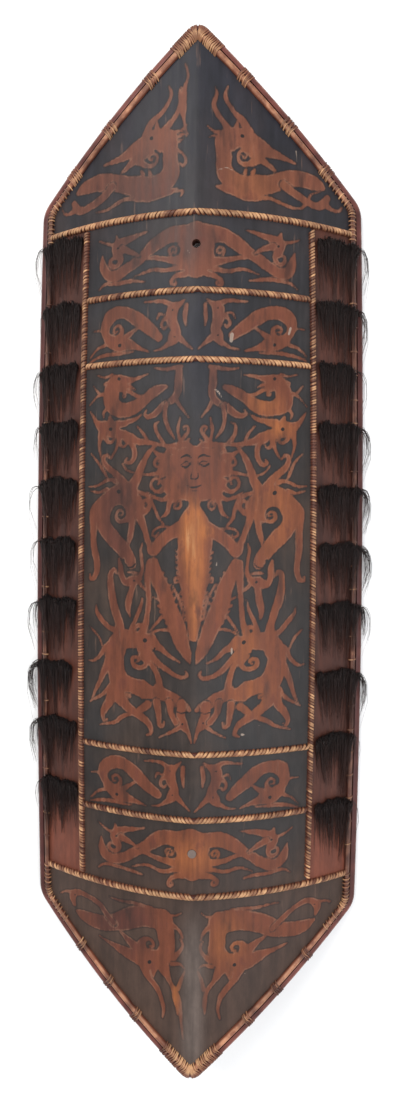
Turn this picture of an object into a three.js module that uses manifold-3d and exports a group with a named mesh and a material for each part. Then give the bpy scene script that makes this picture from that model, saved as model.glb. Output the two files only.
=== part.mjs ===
// A kliau, the long wooden war shield of Borneo, lying on its hollow back.
// The painted face looks up (+Z), the upper point lies towards +Y, and the floor is z = 0.
// One carved board with its grip, rattan canes along the rim, laced rattan bars across
// the face and rows of hair tufts down both sides. All sizes are in millimetres.
import * as THREE from "three";
import { mergeVertices } from "three/addons/utils/BufferGeometryUtils.js";
import Module from "manifold-3d";

const wasm = await Module();
wasm.setup();

// Plan of the whole shield, over the rim canes
const LENGTH = 1250;
const UPPER_POINT_LENGTH = 175;
const LOWER_POINT_LENGTH = 182;
const UPPER_WIDTH = 404;
const MIDDLE_WIDTH = 422;
const LOWER_WIDTH = 416;
const TIP_RADIUS = 17;
const SHOULDER_RADIUS = 30;

// Cross-section of the board
const RIDGE_RISE = 84;
const RIDGE_SHARPNESS = 0.3; // 0 is a plain arch, 1 two flat slopes
const EDGE_THICKNESS = 9;
const WALL_THICKNESS = 11;
const RIDGE_THICKNESS = 14;
const REST_LAND = 9;

// Grip, carved in one with the board
const GRIP_LENGTH = 96;
const GRIP_FOOT_LENGTH = 66;
const GRIP_WIDTH = 28;
const GRIP_FOOT_WIDTH = 56;
const GRIP_THICKNESS = 24;
const FINGER_GAP = 38;
const GRIP_ROOT = 6; // how deep its feet merge into the board

// Holes on the ridge
const HANGING_HOLE_DIAMETER = 10;
const HANGING_HOLE_BELOW_SHOULDER = 72;
const PLUG_DIAMETER = 11;
const PLUG_ABOVE_SHOULDER = 98;
const PLUG_PROUD = 0.6;

// Rattan
const OUTER_CANE_WIDTH = 7;
const OUTER_CANE_PROUD = 1.8;
const OUTER_CANE_FLOOR_GAP = 0.6;
const INNER_CANE_WIDTH = 7.6;
const INNER_CANE_HEIGHT = 4.6;
const CANE_SPACING = 0.8;
const LACING_WIDTH = 8.6;
const LACING_HEIGHT = 4.8;
const UPPER_ROWS_BELOW_SHOULDER = [36, 125, 205];
const LOWER_ROWS_ABOVE_SHOULDER = [219, 139, 45];
const SIDE_LACING_INSET = 67; // from the outline

// Hair tufts
const TUFT_BELOW_ROW = 12;
const TUFT_SPACING = 76.5;
const TUFT_LENGTH = 72;
const TUFT_THICKNESS = 11;
const TUFT_END_THICKNESS = 4;
const TUFT_OVER_RIM = 10;
const TUFT_SIDE_GAP = 1.5;

const GAP = 0.3; // between pieces that touch

const TIP = LENGTH / 2;
const UPPER_SHOULDER = TIP - UPPER_POINT_LENGTH;
const LOWER_SHOULDER = LOWER_POINT_LENGTH - TIP;
const RIM = OUTER_CANE_WIDTH + GAP;
const CANE_BED = RIM + CANE_SPACING + INNER_CANE_WIDTH; // from the outline to the painted face
const STEP = 20; // between stations over the arched face

const FINISHES = {
  board: { color: 0x4b4542, roughness: 0.55 },
  plug: { color: 0x7d766c, roughness: 0.8 },
  outerCane: { color: 0x5c2a20, roughness: 0.5 },
  innerCane: { color: 0x8e5a3c, roughness: 0.45 },
  lacing: { color: 0xa8744c, roughness: 0.5 },
  hair: { color: 0x1c1716, roughness: 0.6 },
};

const shield = new THREE.Group();

function add(name, finish, geometry, mirrored = false) {
  const material = new THREE.MeshStandardMaterial({ ...FINISHES[finish], metalness: 0 });
  const mesh = new THREE.Mesh(geometry, material);
  mesh.name = name;
  if (mirrored) mesh.scale.x = -1;
  shield.add(mesh);
}

// Solids

function toSolid(geometry) {
  const bare = geometry.clone();
  bare.deleteAttribute("normal");
  bare.deleteAttribute("uv");
  const merged = mergeVertices(bare, 1e-3);
  return new wasm.Manifold(
    new wasm.Mesh({
      numProp: 3,
      vertProperties: new Float32Array(merged.attributes.position.array),
      triVerts: new Uint32Array(merged.index.array),
    }),
  );
}

function toGeometry(solid) {
  const mesh = solid.getMesh();
  const geometry = new THREE.BufferGeometry();
  geometry.setAttribute("position", new THREE.BufferAttribute(mesh.vertProperties, 3));
  geometry.setIndex(new THREE.BufferAttribute(mesh.triVerts, 1));
  return geometry;
}

function cylinderUp(radius, x, y, low, high) {
  const geometry = new THREE.CylinderGeometry(radius, radius, high - low, 20);
  geometry.rotateX(Math.PI / 2);
  return geometry.translate(x, y, (low + high) / 2);
}

// A closed skin over stations. Each has a place and a direction in plan, and a ring of
// points [out, height], out being measured along that direction.
function sweep(stations) {
  const around = stations[0].points.length;
  const positions = stations.flatMap(({ at, out, points }) =>
    points.flatMap(([distance, z]) => [at.x + out.x * distance, at.y + out.y * distance, z]),
  );
  const index = [];
  for (let i = 0; i + 1 < stations.length; i++) {
    for (let j = 0; j < around; j++) {
      const a = i * around + j;
      const b = i * around + ((j + 1) % around);
      index.push(a, b, b + around, a, b + around, a + around);
    }
  }
  const last = (stations.length - 1) * around;
  for (const [a, b, c] of endFaces(stations[0].points)) index.push(c, b, a);
  for (const [a, b, c] of endFaces(stations.at(-1).points)) index.push(last + a, last + b, last + c);
  const geometry = new THREE.BufferGeometry();
  geometry.setAttribute("position", new THREE.Float32BufferAttribute(positions, 3));
  geometry.setIndex(signedVolume(positions, index) > 0 ? index : index.reverse());
  return geometry;
}

// Triangles that close a ring, turning the same way as the ring.
function endFaces(points) {
  const contour = points.map(([x, y]) => new THREE.Vector2(x, y));
  const clockwise = THREE.ShapeUtils.isClockWise(contour);
  return THREE.ShapeUtils.triangulateShape(contour, []).map((face) => {
    const faceClockwise = THREE.ShapeUtils.isClockWise(face.map((i) => contour[i]));
    return faceClockwise === clockwise ? face : face.reverse();
  });
}

function signedVolume(positions, index) {
  const corner = (i) => new THREE.Vector3().fromArray(positions, 3 * index[i]);
  let sum = 0;
  for (let i = 0; i < index.length; i += 3) {
    sum += corner(i).dot(corner(i + 1).cross(corner(i + 2)));
  }
  return sum / 6;
}

// The board's shape

// Half the width over the rim canes. The long sides bow out a little.
function outerHalfWidth(y) {
  const middle = (UPPER_SHOULDER + LOWER_SHOULDER) / 2;
  const reach = (UPPER_SHOULDER - LOWER_SHOULDER) / 2;
  const t = THREE.MathUtils.clamp((y - middle) / reach, -1, 1);
  const lean = (UPPER_WIDTH - LOWER_WIDTH) / 4;
  const bow = (2 * MIDDLE_WIDTH - UPPER_WIDTH - LOWER_WIDTH) / 4;
  return MIDDLE_WIDTH / 2 + lean * t - bow * t * t;
}

function boardHalfWidth(y) {
  return outerHalfWidth(y) - RIM;
}

// Height of the face over the floor.
function faceHeight(x, y) {
  const u = Math.min(1, Math.abs(x) / boardHalfWidth(y));
  const fall = RIDGE_SHARPNESS * u + (1 - RIDGE_SHARPNESS) * u * u;
  return EDGE_THICKNESS + RIDGE_RISE * (1 - fall);
}

// Height of the hollow back over the floor. A flat land along each side rests on the floor.
function backHeight(x, y) {
  const hollow = boardHalfWidth(y) - REST_LAND;
  if (Math.abs(x) > hollow - GAP) return 0;
  const thinning = Math.min(1, (2 * Math.abs(x)) / hollow);
  const thickness = THREE.MathUtils.lerp(RIDGE_THICKNESS, WALL_THICKNESS, thinning);
  return Math.max(0, faceHeight(x, y) - thickness);
}

// The right half of the outline, from the upper tip down to the lower one.
function outline() {
  const sideSteps = 12;
  const upper = cornerAt(UPPER_SHOULDER, 1);
  const lower = cornerAt(LOWER_SHOULDER, -1);
  const points = [...upper];
  const top = upper.at(-1).y;
  const bottom = lower.at(-1).y;
  for (let k = 1; k < sideSteps; k++) {
    const y = THREE.MathUtils.lerp(top, bottom, k / sideSteps);
    points.push(new THREE.Vector2(outerHalfWidth(y), y));
  }
  points.push(...lower.reverse());
  return points.map((at, i) => {
    const before = points[i - 1] ?? new THREE.Vector2(-points[1].x, points[1].y);
    const after = points[i + 1] ?? new THREE.Vector2(-points.at(-2).x, points.at(-2).y);
    const along = after.clone().sub(before).normalize();
    return { at, out: new THREE.Vector2(-along.y, along.x) };
  });
}

// One end of the outline: round the tip, down the slope and round the shoulder.
// side is 1 for the upper end and -1 for the lower one.
function cornerAt(shoulderY, side) {
  const shoulder = new THREE.Vector2(outerHalfWidth(shoulderY), shoulderY);
  const tipCentre = new THREE.Vector2(0, side * (TIP - TIP_RADIUS));
  const toShoulder = shoulder.clone().sub(tipCentre);
  const touch = toShoulder.angle() + side * Math.acos(TIP_RADIUS / toShoulder.length());
  const points = [];
  const tipSteps = 4;
  for (let k = 0; k <= tipSteps; k++) {
    const from = (side * Math.PI) / 2;
    const turn = Math.atan2(Math.sin(touch - from), Math.cos(touch - from));
    const angle = from + (turn * k) / tipSteps;
    points.push(new THREE.Vector2(TIP_RADIUS, 0).rotateAround(new THREE.Vector2(), angle).add(tipCentre));
  }
  points[0].x = 0;
  const slopeStart = points.at(-1);
  const sideY = shoulderY - side * SHOULDER_RADIUS;
  const arc = roundedCorner(slopeStart, shoulder, new THREE.Vector2(outerHalfWidth(sideY), sideY));
  const slopeSteps = Math.ceil(slopeStart.distanceTo(arc[0]) / STEP);
  for (let k = 1; k < slopeSteps; k++) points.push(slopeStart.clone().lerp(arc[0], k / slopeSteps));
  points.push(...arc);
  return points;
}

// Points of the arc that rounds a shoulder.
function roundedCorner(before, corner, after) {
  const back = before.clone().sub(corner).normalize();
  const on = after.clone().sub(corner).normalize();
  const half = Math.acos(back.dot(on)) / 2;
  const centreDistance = SHOULDER_RADIUS / Math.sin(half);
  const centre = corner.clone().addScaledVector(back.clone().add(on).normalize(), centreDistance);
  const start = corner.clone().addScaledVector(back, SHOULDER_RADIUS / Math.tan(half));
  const turn = (Math.PI - 2 * half) * Math.sign(on.cross(back));
  const steps = 3;
  return Array.from({ length: steps + 1 }, (_, k) =>
    start.clone().rotateAround(centre, (turn * k) / steps),
  );
}

// A bar laid over a path on the face. The section's points are [out, up], up from the face.
function drape(path, sectionAt, heightAt = heightUnder) {
  return sweep(
    path.map(({ at, out }, i) => ({
      at,
      out,
      points: sectionAt(i / (path.length - 1), at).map(([distance, up]) => [
        distance,
        heightAt(at, out, distance) + up,
      ]),
    })),
  );
}

function heightUnder(at, out, distance) {
  return faceHeight(at.x + out.x * distance, at.y + out.y * distance);
}

// The outer cane keeps level with the edge of the board beside it.
function heightOfEdge(at, out) {
  return heightUnder(at, out, -RIM);
}

// Half of an ellipse from one side to the other, over a flat.
function halfRound(middle, width, foot, height, steps = 6) {
  return Array.from({ length: steps + 1 }, (_, k) => {
    const angle = (Math.PI * k) / steps;
    return [middle + (width / 2) * Math.cos(angle), foot + height * Math.sin(angle)];
  });
}

// The board

function boardBlank() {
  const lip = 3; // beyond the outline, which then cuts it
  const columns = 24;
  const rows = 10;
  const ends = TIP + lip;
  const heights = Array.from({ length: rows + 1 }, (_, k) =>
    THREE.MathUtils.lerp(LOWER_SHOULDER, UPPER_SHOULDER, k / rows),
  );
  return sweep(
    [-ends, ...heights, ends].map((y) => {
      const wide = boardHalfWidth(y);
      const hollow = wide - REST_LAND;
      const points = [[wide + lip, 0], [wide + lip, EDGE_THICKNESS]];
      for (let k = 0; k <= columns; k++) {
        const x = THREE.MathUtils.lerp(wide, -wide, k / columns);
        points.push([x, faceHeight(x, y)]);
      }
      points.push([-wide - lip, EDGE_THICKNESS], [-wide - lip, 0]);
      for (let k = 0; k <= columns; k++) {
        const x = THREE.MathUtils.lerp(-hollow, hollow, k / columns);
        points.push([x, backHeight(x, y)]);
      }
      return { at: new THREE.Vector2(0, y), out: new THREE.Vector2(1, 0), points };
    }),
  );
}

function planPrism(inset) {
  const right = outline().map(({ at, out }) => at.clone().addScaledVector(out, -inset));
  const left = right.slice(1, -1).reverse().map((p) => new THREE.Vector2(-p.x, p.y));
  const shape = new THREE.Shape([...right, ...left]);
  const depth = EDGE_THICKNESS + 2 * RIDGE_RISE;
  const geometry = new THREE.ExtrudeGeometry(shape, { depth, bevelEnabled: false });
  return geometry.translate(0, 0, -RIDGE_RISE / 2);
}

// A bar along the ridge inside the hollow, on two feet that merge into the board.
function grip() {
  const ceiling = backHeight(0, 0);
  const barTop = ceiling - FINGER_GAP;
  const barFoot = barTop - GRIP_THICKNESS;
  const rootHeight = ceiling + GRIP_ROOT;
  const halfBar = GRIP_LENGTH / 2;
  const end = halfBar + GRIP_FOOT_LENGTH;
  const steps = 26;
  const around = 12;
  const stations = Array.from({ length: steps + 1 }, (_, i) => {
    const y = THREE.MathUtils.lerp(-end, end, i / steps);
    const past = Math.max(0, Math.abs(y) - halfBar) / GRIP_FOOT_LENGTH;
    const top = THREE.MathUtils.lerp(barTop, rootHeight, THREE.MathUtils.smoothstep(past, 0, 0.6));
    const foot = THREE.MathUtils.lerp(barFoot, rootHeight - 1, THREE.MathUtils.smoothstep(past, 0.1, 1));
    const width = THREE.MathUtils.lerp(GRIP_WIDTH, GRIP_FOOT_WIDTH, past);
    const points = Array.from({ length: around }, (_, k) => {
      const angle = (2 * Math.PI * k) / around;
      const x = (width / 2) * Math.cos(angle);
      return [x, (top + foot) / 2 + ((top - foot) / 2) * Math.sin(angle)];
    });
    return { at: new THREE.Vector2(0, y), out: new THREE.Vector2(1, 0), points };
  });
  return sweep(stations);
}

const ridgeTop = EDGE_THICKNESS + RIDGE_RISE;
const holeY = UPPER_SHOULDER - HANGING_HOLE_BELOW_SHOULDER;
const plugY = LOWER_SHOULDER + PLUG_ABOVE_SHOULDER;
const board = toSolid(boardBlank())
  .intersect(toSolid(planPrism(RIM)))
  .subtract(toSolid(cylinderUp(HANGING_HOLE_DIAMETER / 2, 0, holeY, 0, 2 * ridgeTop)))
  .subtract(toSolid(cylinderUp(PLUG_DIAMETER / 2, 0, plugY, 0, 2 * ridgeTop)))
  .add(toSolid(grip()));
add("board", "board", toGeometry(board));
add(
  "hole_plug",
  "plug",
  cylinderUp(PLUG_DIAMETER / 2 - GAP, 0, plugY, ridgeTop - RIDGE_THICKNESS, ridgeTop + PLUG_PROUD),
);

// Canes round the rim, a left and a right one that meet at both tips

function rimCane(section, heightAt) {
  const geometry = drape(outline(), () => section, heightAt);
  return geometry.translate(GAP / 2, 0, 0);
}

const outerDepth = EDGE_THICKNESS - OUTER_CANE_FLOOR_GAP;
const outerSection = halfRound(0, outerDepth + OUTER_CANE_PROUD, 0, OUTER_CANE_WIDTH).map(
  ([along, outwards]) => [outwards - OUTER_CANE_WIDTH, along + (OUTER_CANE_PROUD - outerDepth) / 2],
);
const innerMiddle = -RIM - CANE_SPACING - INNER_CANE_WIDTH / 2;
const innerSection = halfRound(innerMiddle, INNER_CANE_WIDTH, GAP, INNER_CANE_HEIGHT);
for (const [side, mirrored] of [["right", false], ["left", true]]) {
  add("rim_cane_outer_" + side, "outerCane", rimCane(outerSection, heightOfEdge), mirrored);
  add("rim_cane_inner_" + side, "innerCane", rimCane(innerSection), mirrored);
}

// Laced bars across the face and down both sides

const lacingSection = halfRound(0, LACING_WIDTH, GAP, LACING_HEIGHT);
const rows = [
  ...UPPER_ROWS_BELOW_SHOULDER.map((d) => UPPER_SHOULDER - d),
  ...LOWER_ROWS_ABOVE_SHOULDER.map((d) => LOWER_SHOULDER + d),
];

function sideLacingX(y) {
  return outerHalfWidth(y) - SIDE_LACING_INSET;
}

function crossBar(y, reach) {
  const steps = 2 * Math.ceil(reach / STEP);
  const path = Array.from({ length: steps + 1 }, (_, k) => ({
    at: new THREE.Vector2(THREE.MathUtils.lerp(-reach, reach, k / steps), y),
    out: new THREE.Vector2(0, 1),
  }));
  return drape(path, () => lacingSection);
}

function sideBar(top, bottom) {
  const steps = 14;
  const path = Array.from({ length: steps + 1 }, (_, k) => {
    const y = THREE.MathUtils.lerp(top, bottom, k / steps);
    return { at: new THREE.Vector2(sideLacingX(y), y), out: new THREE.Vector2(1, 0) };
  });
  return drape(path, () => lacingSection);
}

rows.forEach((y, i) => {
  const framing = i === 0 || i === rows.length - 1;
  const toRim = outerHalfWidth(y) - CANE_BED - 2 * GAP;
  const toSideLacing = sideLacingX(y) - LACING_WIDTH / 2 - 2 * GAP;
  add("lacing_row_" + (i + 1), "lacing", crossBar(y, framing ? toRim : toSideLacing));
});
const sideTop = rows[0] - LACING_WIDTH / 2 - 2 * GAP;
const sideBottom = rows.at(-1) + LACING_WIDTH / 2 + 2 * GAP;
add("lacing_side_right", "lacing", sideBar(sideTop, sideBottom));
add("lacing_side_left", "lacing", sideBar(sideTop, sideBottom), true);

// Hair tufts, which hang from the strips between the side lacing and the rim

function tuft(rootY) {
  const shares = [0, 0.12, 0.4, 0.7, 1];
  const path = shares.map((share) => {
    const y = rootY - share * TUFT_LENGTH;
    return { at: new THREE.Vector2(sideLacingX(y), y), out: new THREE.Vector2(1, 0) };
  });
  const sectionAt = (step, at) => {
    const share = shares[Math.round(step * (shares.length - 1))];
    const rounding = THREE.MathUtils.smoothstep(share, -0.1, 0.12);
    const thick = rounding * THREE.MathUtils.lerp(TUFT_THICKNESS, TUFT_END_THICKNESS, share);
    const near = LACING_WIDTH / 2 + TUFT_SIDE_GAP;
    const cane = outerHalfWidth(at.y) - CANE_BED - at.x;
    const overCane = 2 * GAP + INNER_CANE_HEIGHT;
    const far = cane + TUFT_OVER_RIM;
    return [
      [near, 2 * GAP],
      [(2 * near + cane) / 3, 2 * GAP],
      [(near + 2 * cane) / 3, 2 * GAP],
      [cane - 3 * GAP, 2 * GAP],
      [cane - 2 * GAP, overCane],
      [far, overCane],
      [far, overCane + 0.3 * thick],
      [cane, overCane + 0.6 * thick],
      [(near + 2 * cane) / 3, 2 * GAP + thick],
      [(2 * near + cane) / 3, 2 * GAP + thick],
      [near, 2 * GAP + 0.5 * thick],
    ];
  };
  return drape(path, sectionAt);
}

const firstTuft = rows[0] - TUFT_BELOW_ROW;
const tuftRoom = firstTuft - TUFT_LENGTH - sideBottom;
for (let k = 0; k * TUFT_SPACING < tuftRoom; k++) {
  const rootY = firstTuft - k * TUFT_SPACING;
  const number = String(k + 1).padStart(2, "0");
  add("hair_tuft_right_" + number, "hair", tuft(rootY));
  add("hair_tuft_left_" + number, "hair", tuft(rootY), true);
}

export default shield;
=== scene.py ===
import math

import bpy
import numpy as np
from mathutils import Matrix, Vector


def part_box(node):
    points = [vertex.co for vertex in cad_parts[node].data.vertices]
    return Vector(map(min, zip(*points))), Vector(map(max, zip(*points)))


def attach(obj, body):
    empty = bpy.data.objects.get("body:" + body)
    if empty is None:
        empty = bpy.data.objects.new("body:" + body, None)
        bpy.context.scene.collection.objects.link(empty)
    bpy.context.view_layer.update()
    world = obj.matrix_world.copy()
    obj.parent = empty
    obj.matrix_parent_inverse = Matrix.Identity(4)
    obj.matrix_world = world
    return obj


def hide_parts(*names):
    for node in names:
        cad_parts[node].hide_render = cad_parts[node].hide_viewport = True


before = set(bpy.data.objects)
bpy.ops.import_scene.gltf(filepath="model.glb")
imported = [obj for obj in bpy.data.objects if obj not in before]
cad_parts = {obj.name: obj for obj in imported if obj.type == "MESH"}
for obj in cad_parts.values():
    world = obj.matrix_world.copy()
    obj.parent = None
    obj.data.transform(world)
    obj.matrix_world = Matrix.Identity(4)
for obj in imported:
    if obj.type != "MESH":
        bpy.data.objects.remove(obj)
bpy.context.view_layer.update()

MM = 0.001
SEED = 7

# Plan and section of the board, as in its solids
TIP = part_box("rim_cane_outer_right")[1][1]
UPPER_SHOULDER = 450 * MM
LOWER_SHOULDER = -443 * MM
UPPER_HALF_WIDTH = 202 * MM
MIDDLE_HALF_WIDTH = 211 * MM
LOWER_HALF_WIDTH = 208 * MM
TIP_RADIUS = 17 * MM
SHOULDER_RADIUS = 30 * MM
RIDGE_RISE = 84 * MM
RIDGE_SHARPNESS = 0.3
RIDGE_ROUNDING = 3 * MM
EDGE_THICKNESS = 9 * MM
WALL_THICKNESS = 11 * MM
RIDGE_THICKNESS = 14 * MM
REST_LAND = 9 * MM
RIM = 7.3 * MM
GAP = 0.3 * MM
OUTER_CANE_WIDTH = 7 * MM
OUTER_CANE_PROUD = 1.8 * MM
INNER_CANE_WIDTH = 7.6 * MM
INNER_CANE_HEIGHT = 4.6 * MM
CANE_SPACING = 0.8 * MM
CANE_BED = RIM + CANE_SPACING + INNER_CANE_WIDTH
HOLE_RADIUS = 5 * MM
PLUG_HOLE_RADIUS = 5.5 * MM
HOLE_Y = UPPER_SHOULDER - 72 * MM
SIDE_LACING_INSET = 67 * MM
LACING_WIDTH = 8.6 * MM
LACING_HEIGHT = 4.8 * MM
# Steps of the outline round a tip, round a shoulder and down a side
TIP_STEPS = 8
SHOULDER_STEPS = 6
SIDE_STEPS = 39


def middle_of(node):
    low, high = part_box(node)
    return [(a + b) / 2 for a, b in zip(low, high)]


ROW_Y = [middle_of(f"lacing_row_{k}")[1] for k in range(1, 7)]
PLUG_Y = middle_of("hole_plug")[1]
TUFTS = sorted(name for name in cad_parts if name.startswith("hair_tuft_right"))
TUFT_ROOT_Y = [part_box(name)[1][1] for name in TUFTS]


# Shape of the board

def outer_half_width(y):
    middle = (UPPER_SHOULDER + LOWER_SHOULDER) / 2
    reach = (UPPER_SHOULDER - LOWER_SHOULDER) / 2
    t = np.clip((y - middle) / reach, -1, 1)
    lean = (UPPER_HALF_WIDTH - LOWER_HALF_WIDTH) / 2
    bow = MIDDLE_HALF_WIDTH - (UPPER_HALF_WIDTH + LOWER_HALF_WIDTH) / 2
    return MIDDLE_HALF_WIDTH + lean * t - bow * t * t


def board_half_width(y):
    return outer_half_width(y) - RIM


def face_height(x, y):
    rounded = np.sqrt(x * x + RIDGE_ROUNDING**2) - RIDGE_ROUNDING
    u = np.minimum(1, rounded / board_half_width(y))
    return EDGE_THICKNESS + RIDGE_RISE * (1 - RIDGE_SHARPNESS * u - (1 - RIDGE_SHARPNESS) * u * u)


def back_height(x, y):
    hollow = board_half_width(y) - REST_LAND
    thinning = np.minimum(1, 2 * np.abs(x) / hollow)
    thickness = RIDGE_THICKNESS + (WALL_THICKNESS - RIDGE_THICKNESS) * thinning
    height = np.maximum(0, face_height(x, y) - thickness)
    return np.where(np.abs(x) > hollow - GAP, 0, height)


def on_face(x, y):
    return np.stack([x, y, face_height(x, y)], -1)


def face_normal(x, y):
    step = 0.5 * MM
    dx = (face_height(x + step, y) - face_height(x - step, y)) / (2 * step)
    dy = (face_height(x, y + step) - face_height(x, y - step)) / (2 * step)
    return unit(np.stack([-dx, -dy, np.ones_like(dx)], -1))


def unit(v):
    return v / np.linalg.norm(v, axis=-1, keepdims=True)


def side_lacing_x(y):
    return outer_half_width(y) - SIDE_LACING_INSET


def arc(centre, radius, start, turn, steps):
    angles = start + turn * np.linspace(0, 1, steps + 1)
    return centre + radius * np.stack([np.cos(angles), np.sin(angles)], -1)


def outline_corner(shoulder_y, side):
    """One end of the right half of the outline, from the tip round the shoulder. side is 1 or -1."""
    shoulder = np.array([outer_half_width(shoulder_y), shoulder_y])
    tip_centre = np.array([0, side * (TIP - TIP_RADIUS)])
    slope = shoulder - tip_centre
    touch = math.atan2(slope[1], slope[0]) + side * math.acos(TIP_RADIUS / np.hypot(*slope))
    start = side * math.pi / 2
    turn = math.atan2(math.sin(touch - start), math.cos(touch - start))
    tip = arc(tip_centre, TIP_RADIUS, start, turn, TIP_STEPS)
    side_y = shoulder_y - side * SHOULDER_RADIUS
    back = unit(tip[-1] - shoulder)
    on = unit(np.array([outer_half_width(side_y), side_y]) - shoulder)
    half = math.acos(back @ on) / 2
    centre = shoulder + unit(back + on) * SHOULDER_RADIUS / math.sin(half)
    first = shoulder + back * SHOULDER_RADIUS / math.tan(half) - centre
    swing = (math.pi - 2 * half) * np.sign(on[0] * back[1] - on[1] * back[0])
    bend = arc(centre, SHOULDER_RADIUS, math.atan2(first[1], first[0]), swing, SHOULDER_STEPS)
    return np.concatenate([tip, bend])


def rows_at(where, at, rows):
    """Plan points or directions at the distances where, from rows of them at the distances at."""
    return np.stack([np.interp(where, at, rows[:, k]) for k in (0, 1)], -1)


def outline(spacing):
    """Points, outward normals and distances down the right half of the outline, from the upper tip."""
    upper = outline_corner(UPPER_SHOULDER, 1)
    lower = outline_corner(LOWER_SHOULDER, -1)[::-1]
    y = np.linspace(upper[-1, 1], lower[0, 1], SIDE_STEPS + 1)[1:-1]
    points = np.concatenate([upper, np.stack([outer_half_width(y), y], -1), lower])
    length = np.concatenate([[0], np.cumsum(np.hypot(*np.diff(points, axis=0).T))])
    at = np.linspace(0, length[-1], round(length[-1] / spacing) + 1)
    points = rows_at(at, length, points)
    points[[0, -1], 0] = 0
    along = np.gradient(points, axis=0)
    along[[0, -1], 1] = 0
    along = unit(along)
    return points, np.stack([-along[:, 1], along[:, 0]], -1), at


# Meshes

def bare_object(name, verts, faces):
    mesh = bpy.data.meshes.new(name)
    mesh.from_pydata(verts, [], faces)
    piece = bpy.data.objects.new(name, mesh)
    bpy.context.scene.collection.objects.link(piece)
    return piece


def build(name, verts, faces, material, replaced=(), smooth=35):
    piece = bare_object(name, verts, faces)
    piece.data.validate()
    finish_piece(piece, material, replaced, smooth)
    return piece


def finish_piece(piece, material, replaced=(), smooth=35):
    mesh = piece.data
    mesh.materials.clear()
    mesh.materials.append(material)
    mesh.polygons.foreach_set("use_smooth", [True] * len(mesh.polygons))
    mesh.set_sharp_from_angle(angle=math.radians(smooth))
    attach(piece, "root")
    if replaced:
        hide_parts(*replaced)


def add_value(piece, name, values):
    attribute = piece.data.attributes.new(name, "FLOAT", "POINT")
    attribute.data.foreach_set("value", np.ascontiguousarray(values, np.float32))


def tubes(rings):
    """Vertices and faces of closed tubes. rings has the shape (tubes, rings, points, 3)."""
    rings = np.array(rings, float)
    count, n, m = rings.shape[:3]
    first = rings[:, 0]
    area = np.cross(first, np.roll(first, -1, axis=1)).sum(1)
    ahead = rings[:, 1].mean(1) - first.mean(1)
    wrong = (area * ahead).sum(-1) < 0
    rings[wrong] = rings[wrong, :, ::-1]
    start = (np.arange(count) * n * m)[:, None, None]
    i = np.arange(n - 1)[None, :, None] * m
    j = np.arange(m)[None, None, :]
    k = (j + 1) % m
    sides = np.stack([start + i + j, start + i + k, start + i + m + k, start + i + m + j], -1)
    starts = start[:, 0] + np.arange(m)[::-1]
    ends = start[:, 0] + (n - 1) * m + np.arange(m)
    faces = sides.reshape(-1, 4).tolist() + starts.tolist() + ends.tolist()
    return rings.reshape(-1, 3), faces


def ribbons(path, across, up, width, thickness):
    """Rings of crowned bands along paths of the shape (tubes, rings, 3)."""
    section = np.array([(-0.5, 0), (-0.4, 0.75), (0, 1), (0.4, 0.75), (0.5, 0)])
    width = np.broadcast_to(width, path.shape[:2])[..., None, None]
    thickness = np.broadcast_to(thickness, path.shape[:2])[..., None, None]
    sideways = across[..., None, :] * section[:, 0, None] * width
    upwards = up[..., None, :] * section[:, 1, None] * thickness
    return path[..., None, :] + sideways + upwards


# How much each point of a band's section stands up, and so how much rubbed look and painted highlight it
# gets
BAND_CROWN = [0, 0.78, 1, 0.78, 0]


# Materials

def new_material(name):
    material = bpy.data.materials.new(name)
    material.use_nodes = True
    return material, Nodes(material.node_tree)


class Nodes:
    """Short ways to add shader nodes and join them."""

    def __init__(self, tree):
        self.tree = tree
        self.shader = tree.nodes["Principled BSDF"]

    def add(self, kind, **inputs):
        node = self.tree.nodes.new("ShaderNode" + kind)
        for key, value in inputs.items():
            self.put(node.inputs[key.replace("_", " ")], value)
        return node

    def put(self, socket, value):
        if isinstance(value, bpy.types.NodeSocket):
            self.tree.links.new(value, socket)
        else:
            socket.default_value = value

    def value(self, name):
        node = self.add("Attribute")
        node.attribute_name = name
        return node.outputs["Fac"]

    def place(self, scale):
        where = self.add("TexCoord").outputs["Object"]
        return self.add("Mapping", Vector=where, Scale=scale).outputs["Vector"]

    def noise(self, scale, stretch=(1, 1, 1), detail=3.0, roughness=0.55):
        where = self.place(stretch)
        node = self.add("TexNoise", Vector=where, Scale=scale, Detail=detail, Roughness=roughness)
        return node.outputs["Fac"]

    def math(self, operation, a, b):
        node = self.add("Math")
        node.operation = operation
        self.put(node.inputs[0], a)
        self.put(node.inputs[1], b)
        return node.outputs[0]

    def sway(self, noise, reach):
        """A push up or down by a noise of 0 to 1, by half of reach at most."""
        return self.math("MULTIPLY", self.math("SUBTRACT", noise, 0.5), reach)

    def span(self, value, low, high, to_low=0.0, to_high=1.0):
        node = self.add("MapRange", Value=value)
        node.interpolation_type = "SMOOTHSTEP"
        for key, number in (("From Min", low), ("From Max", high), ("To Min", to_low), ("To Max", to_high)):
            node.inputs[key].default_value = number
        return node.outputs[0]

    def mix(self, share, a, b):
        node = self.add("Mix")
        node.data_type = "RGBA"
        self.put(node.inputs["Factor"], share)
        self.put(node.inputs[6], a)
        self.put(node.inputs[7], b)
        return node.outputs[2]

    def ramp(self, value, *stops):
        """Smooth steps from color to color, each stop being (value, color)."""
        low, color = stops[0]
        for high, next_color in stops[1:]:
            color = self.mix(self.span(value, low, high), color, next_color)
            low = high
        return color

    def tint(self, color, amount):
        """The color with its brightness multiplied by amount."""
        node = self.add("HueSaturation", Color=color, Value=amount)
        return node.outputs["Color"]

    def bump(self, height, distance):
        node = self.add("Bump", Height=height, Distance=distance)
        self.put(self.shader.inputs["Normal"], node.outputs["Normal"])

    def surface(self, color, roughness, shine=0.3):
        self.put(self.shader.inputs["Base Color"], color)
        self.put(self.shader.inputs["Roughness"], roughness)
        self.shader.inputs["Specular IOR Level"].default_value = shine


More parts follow.
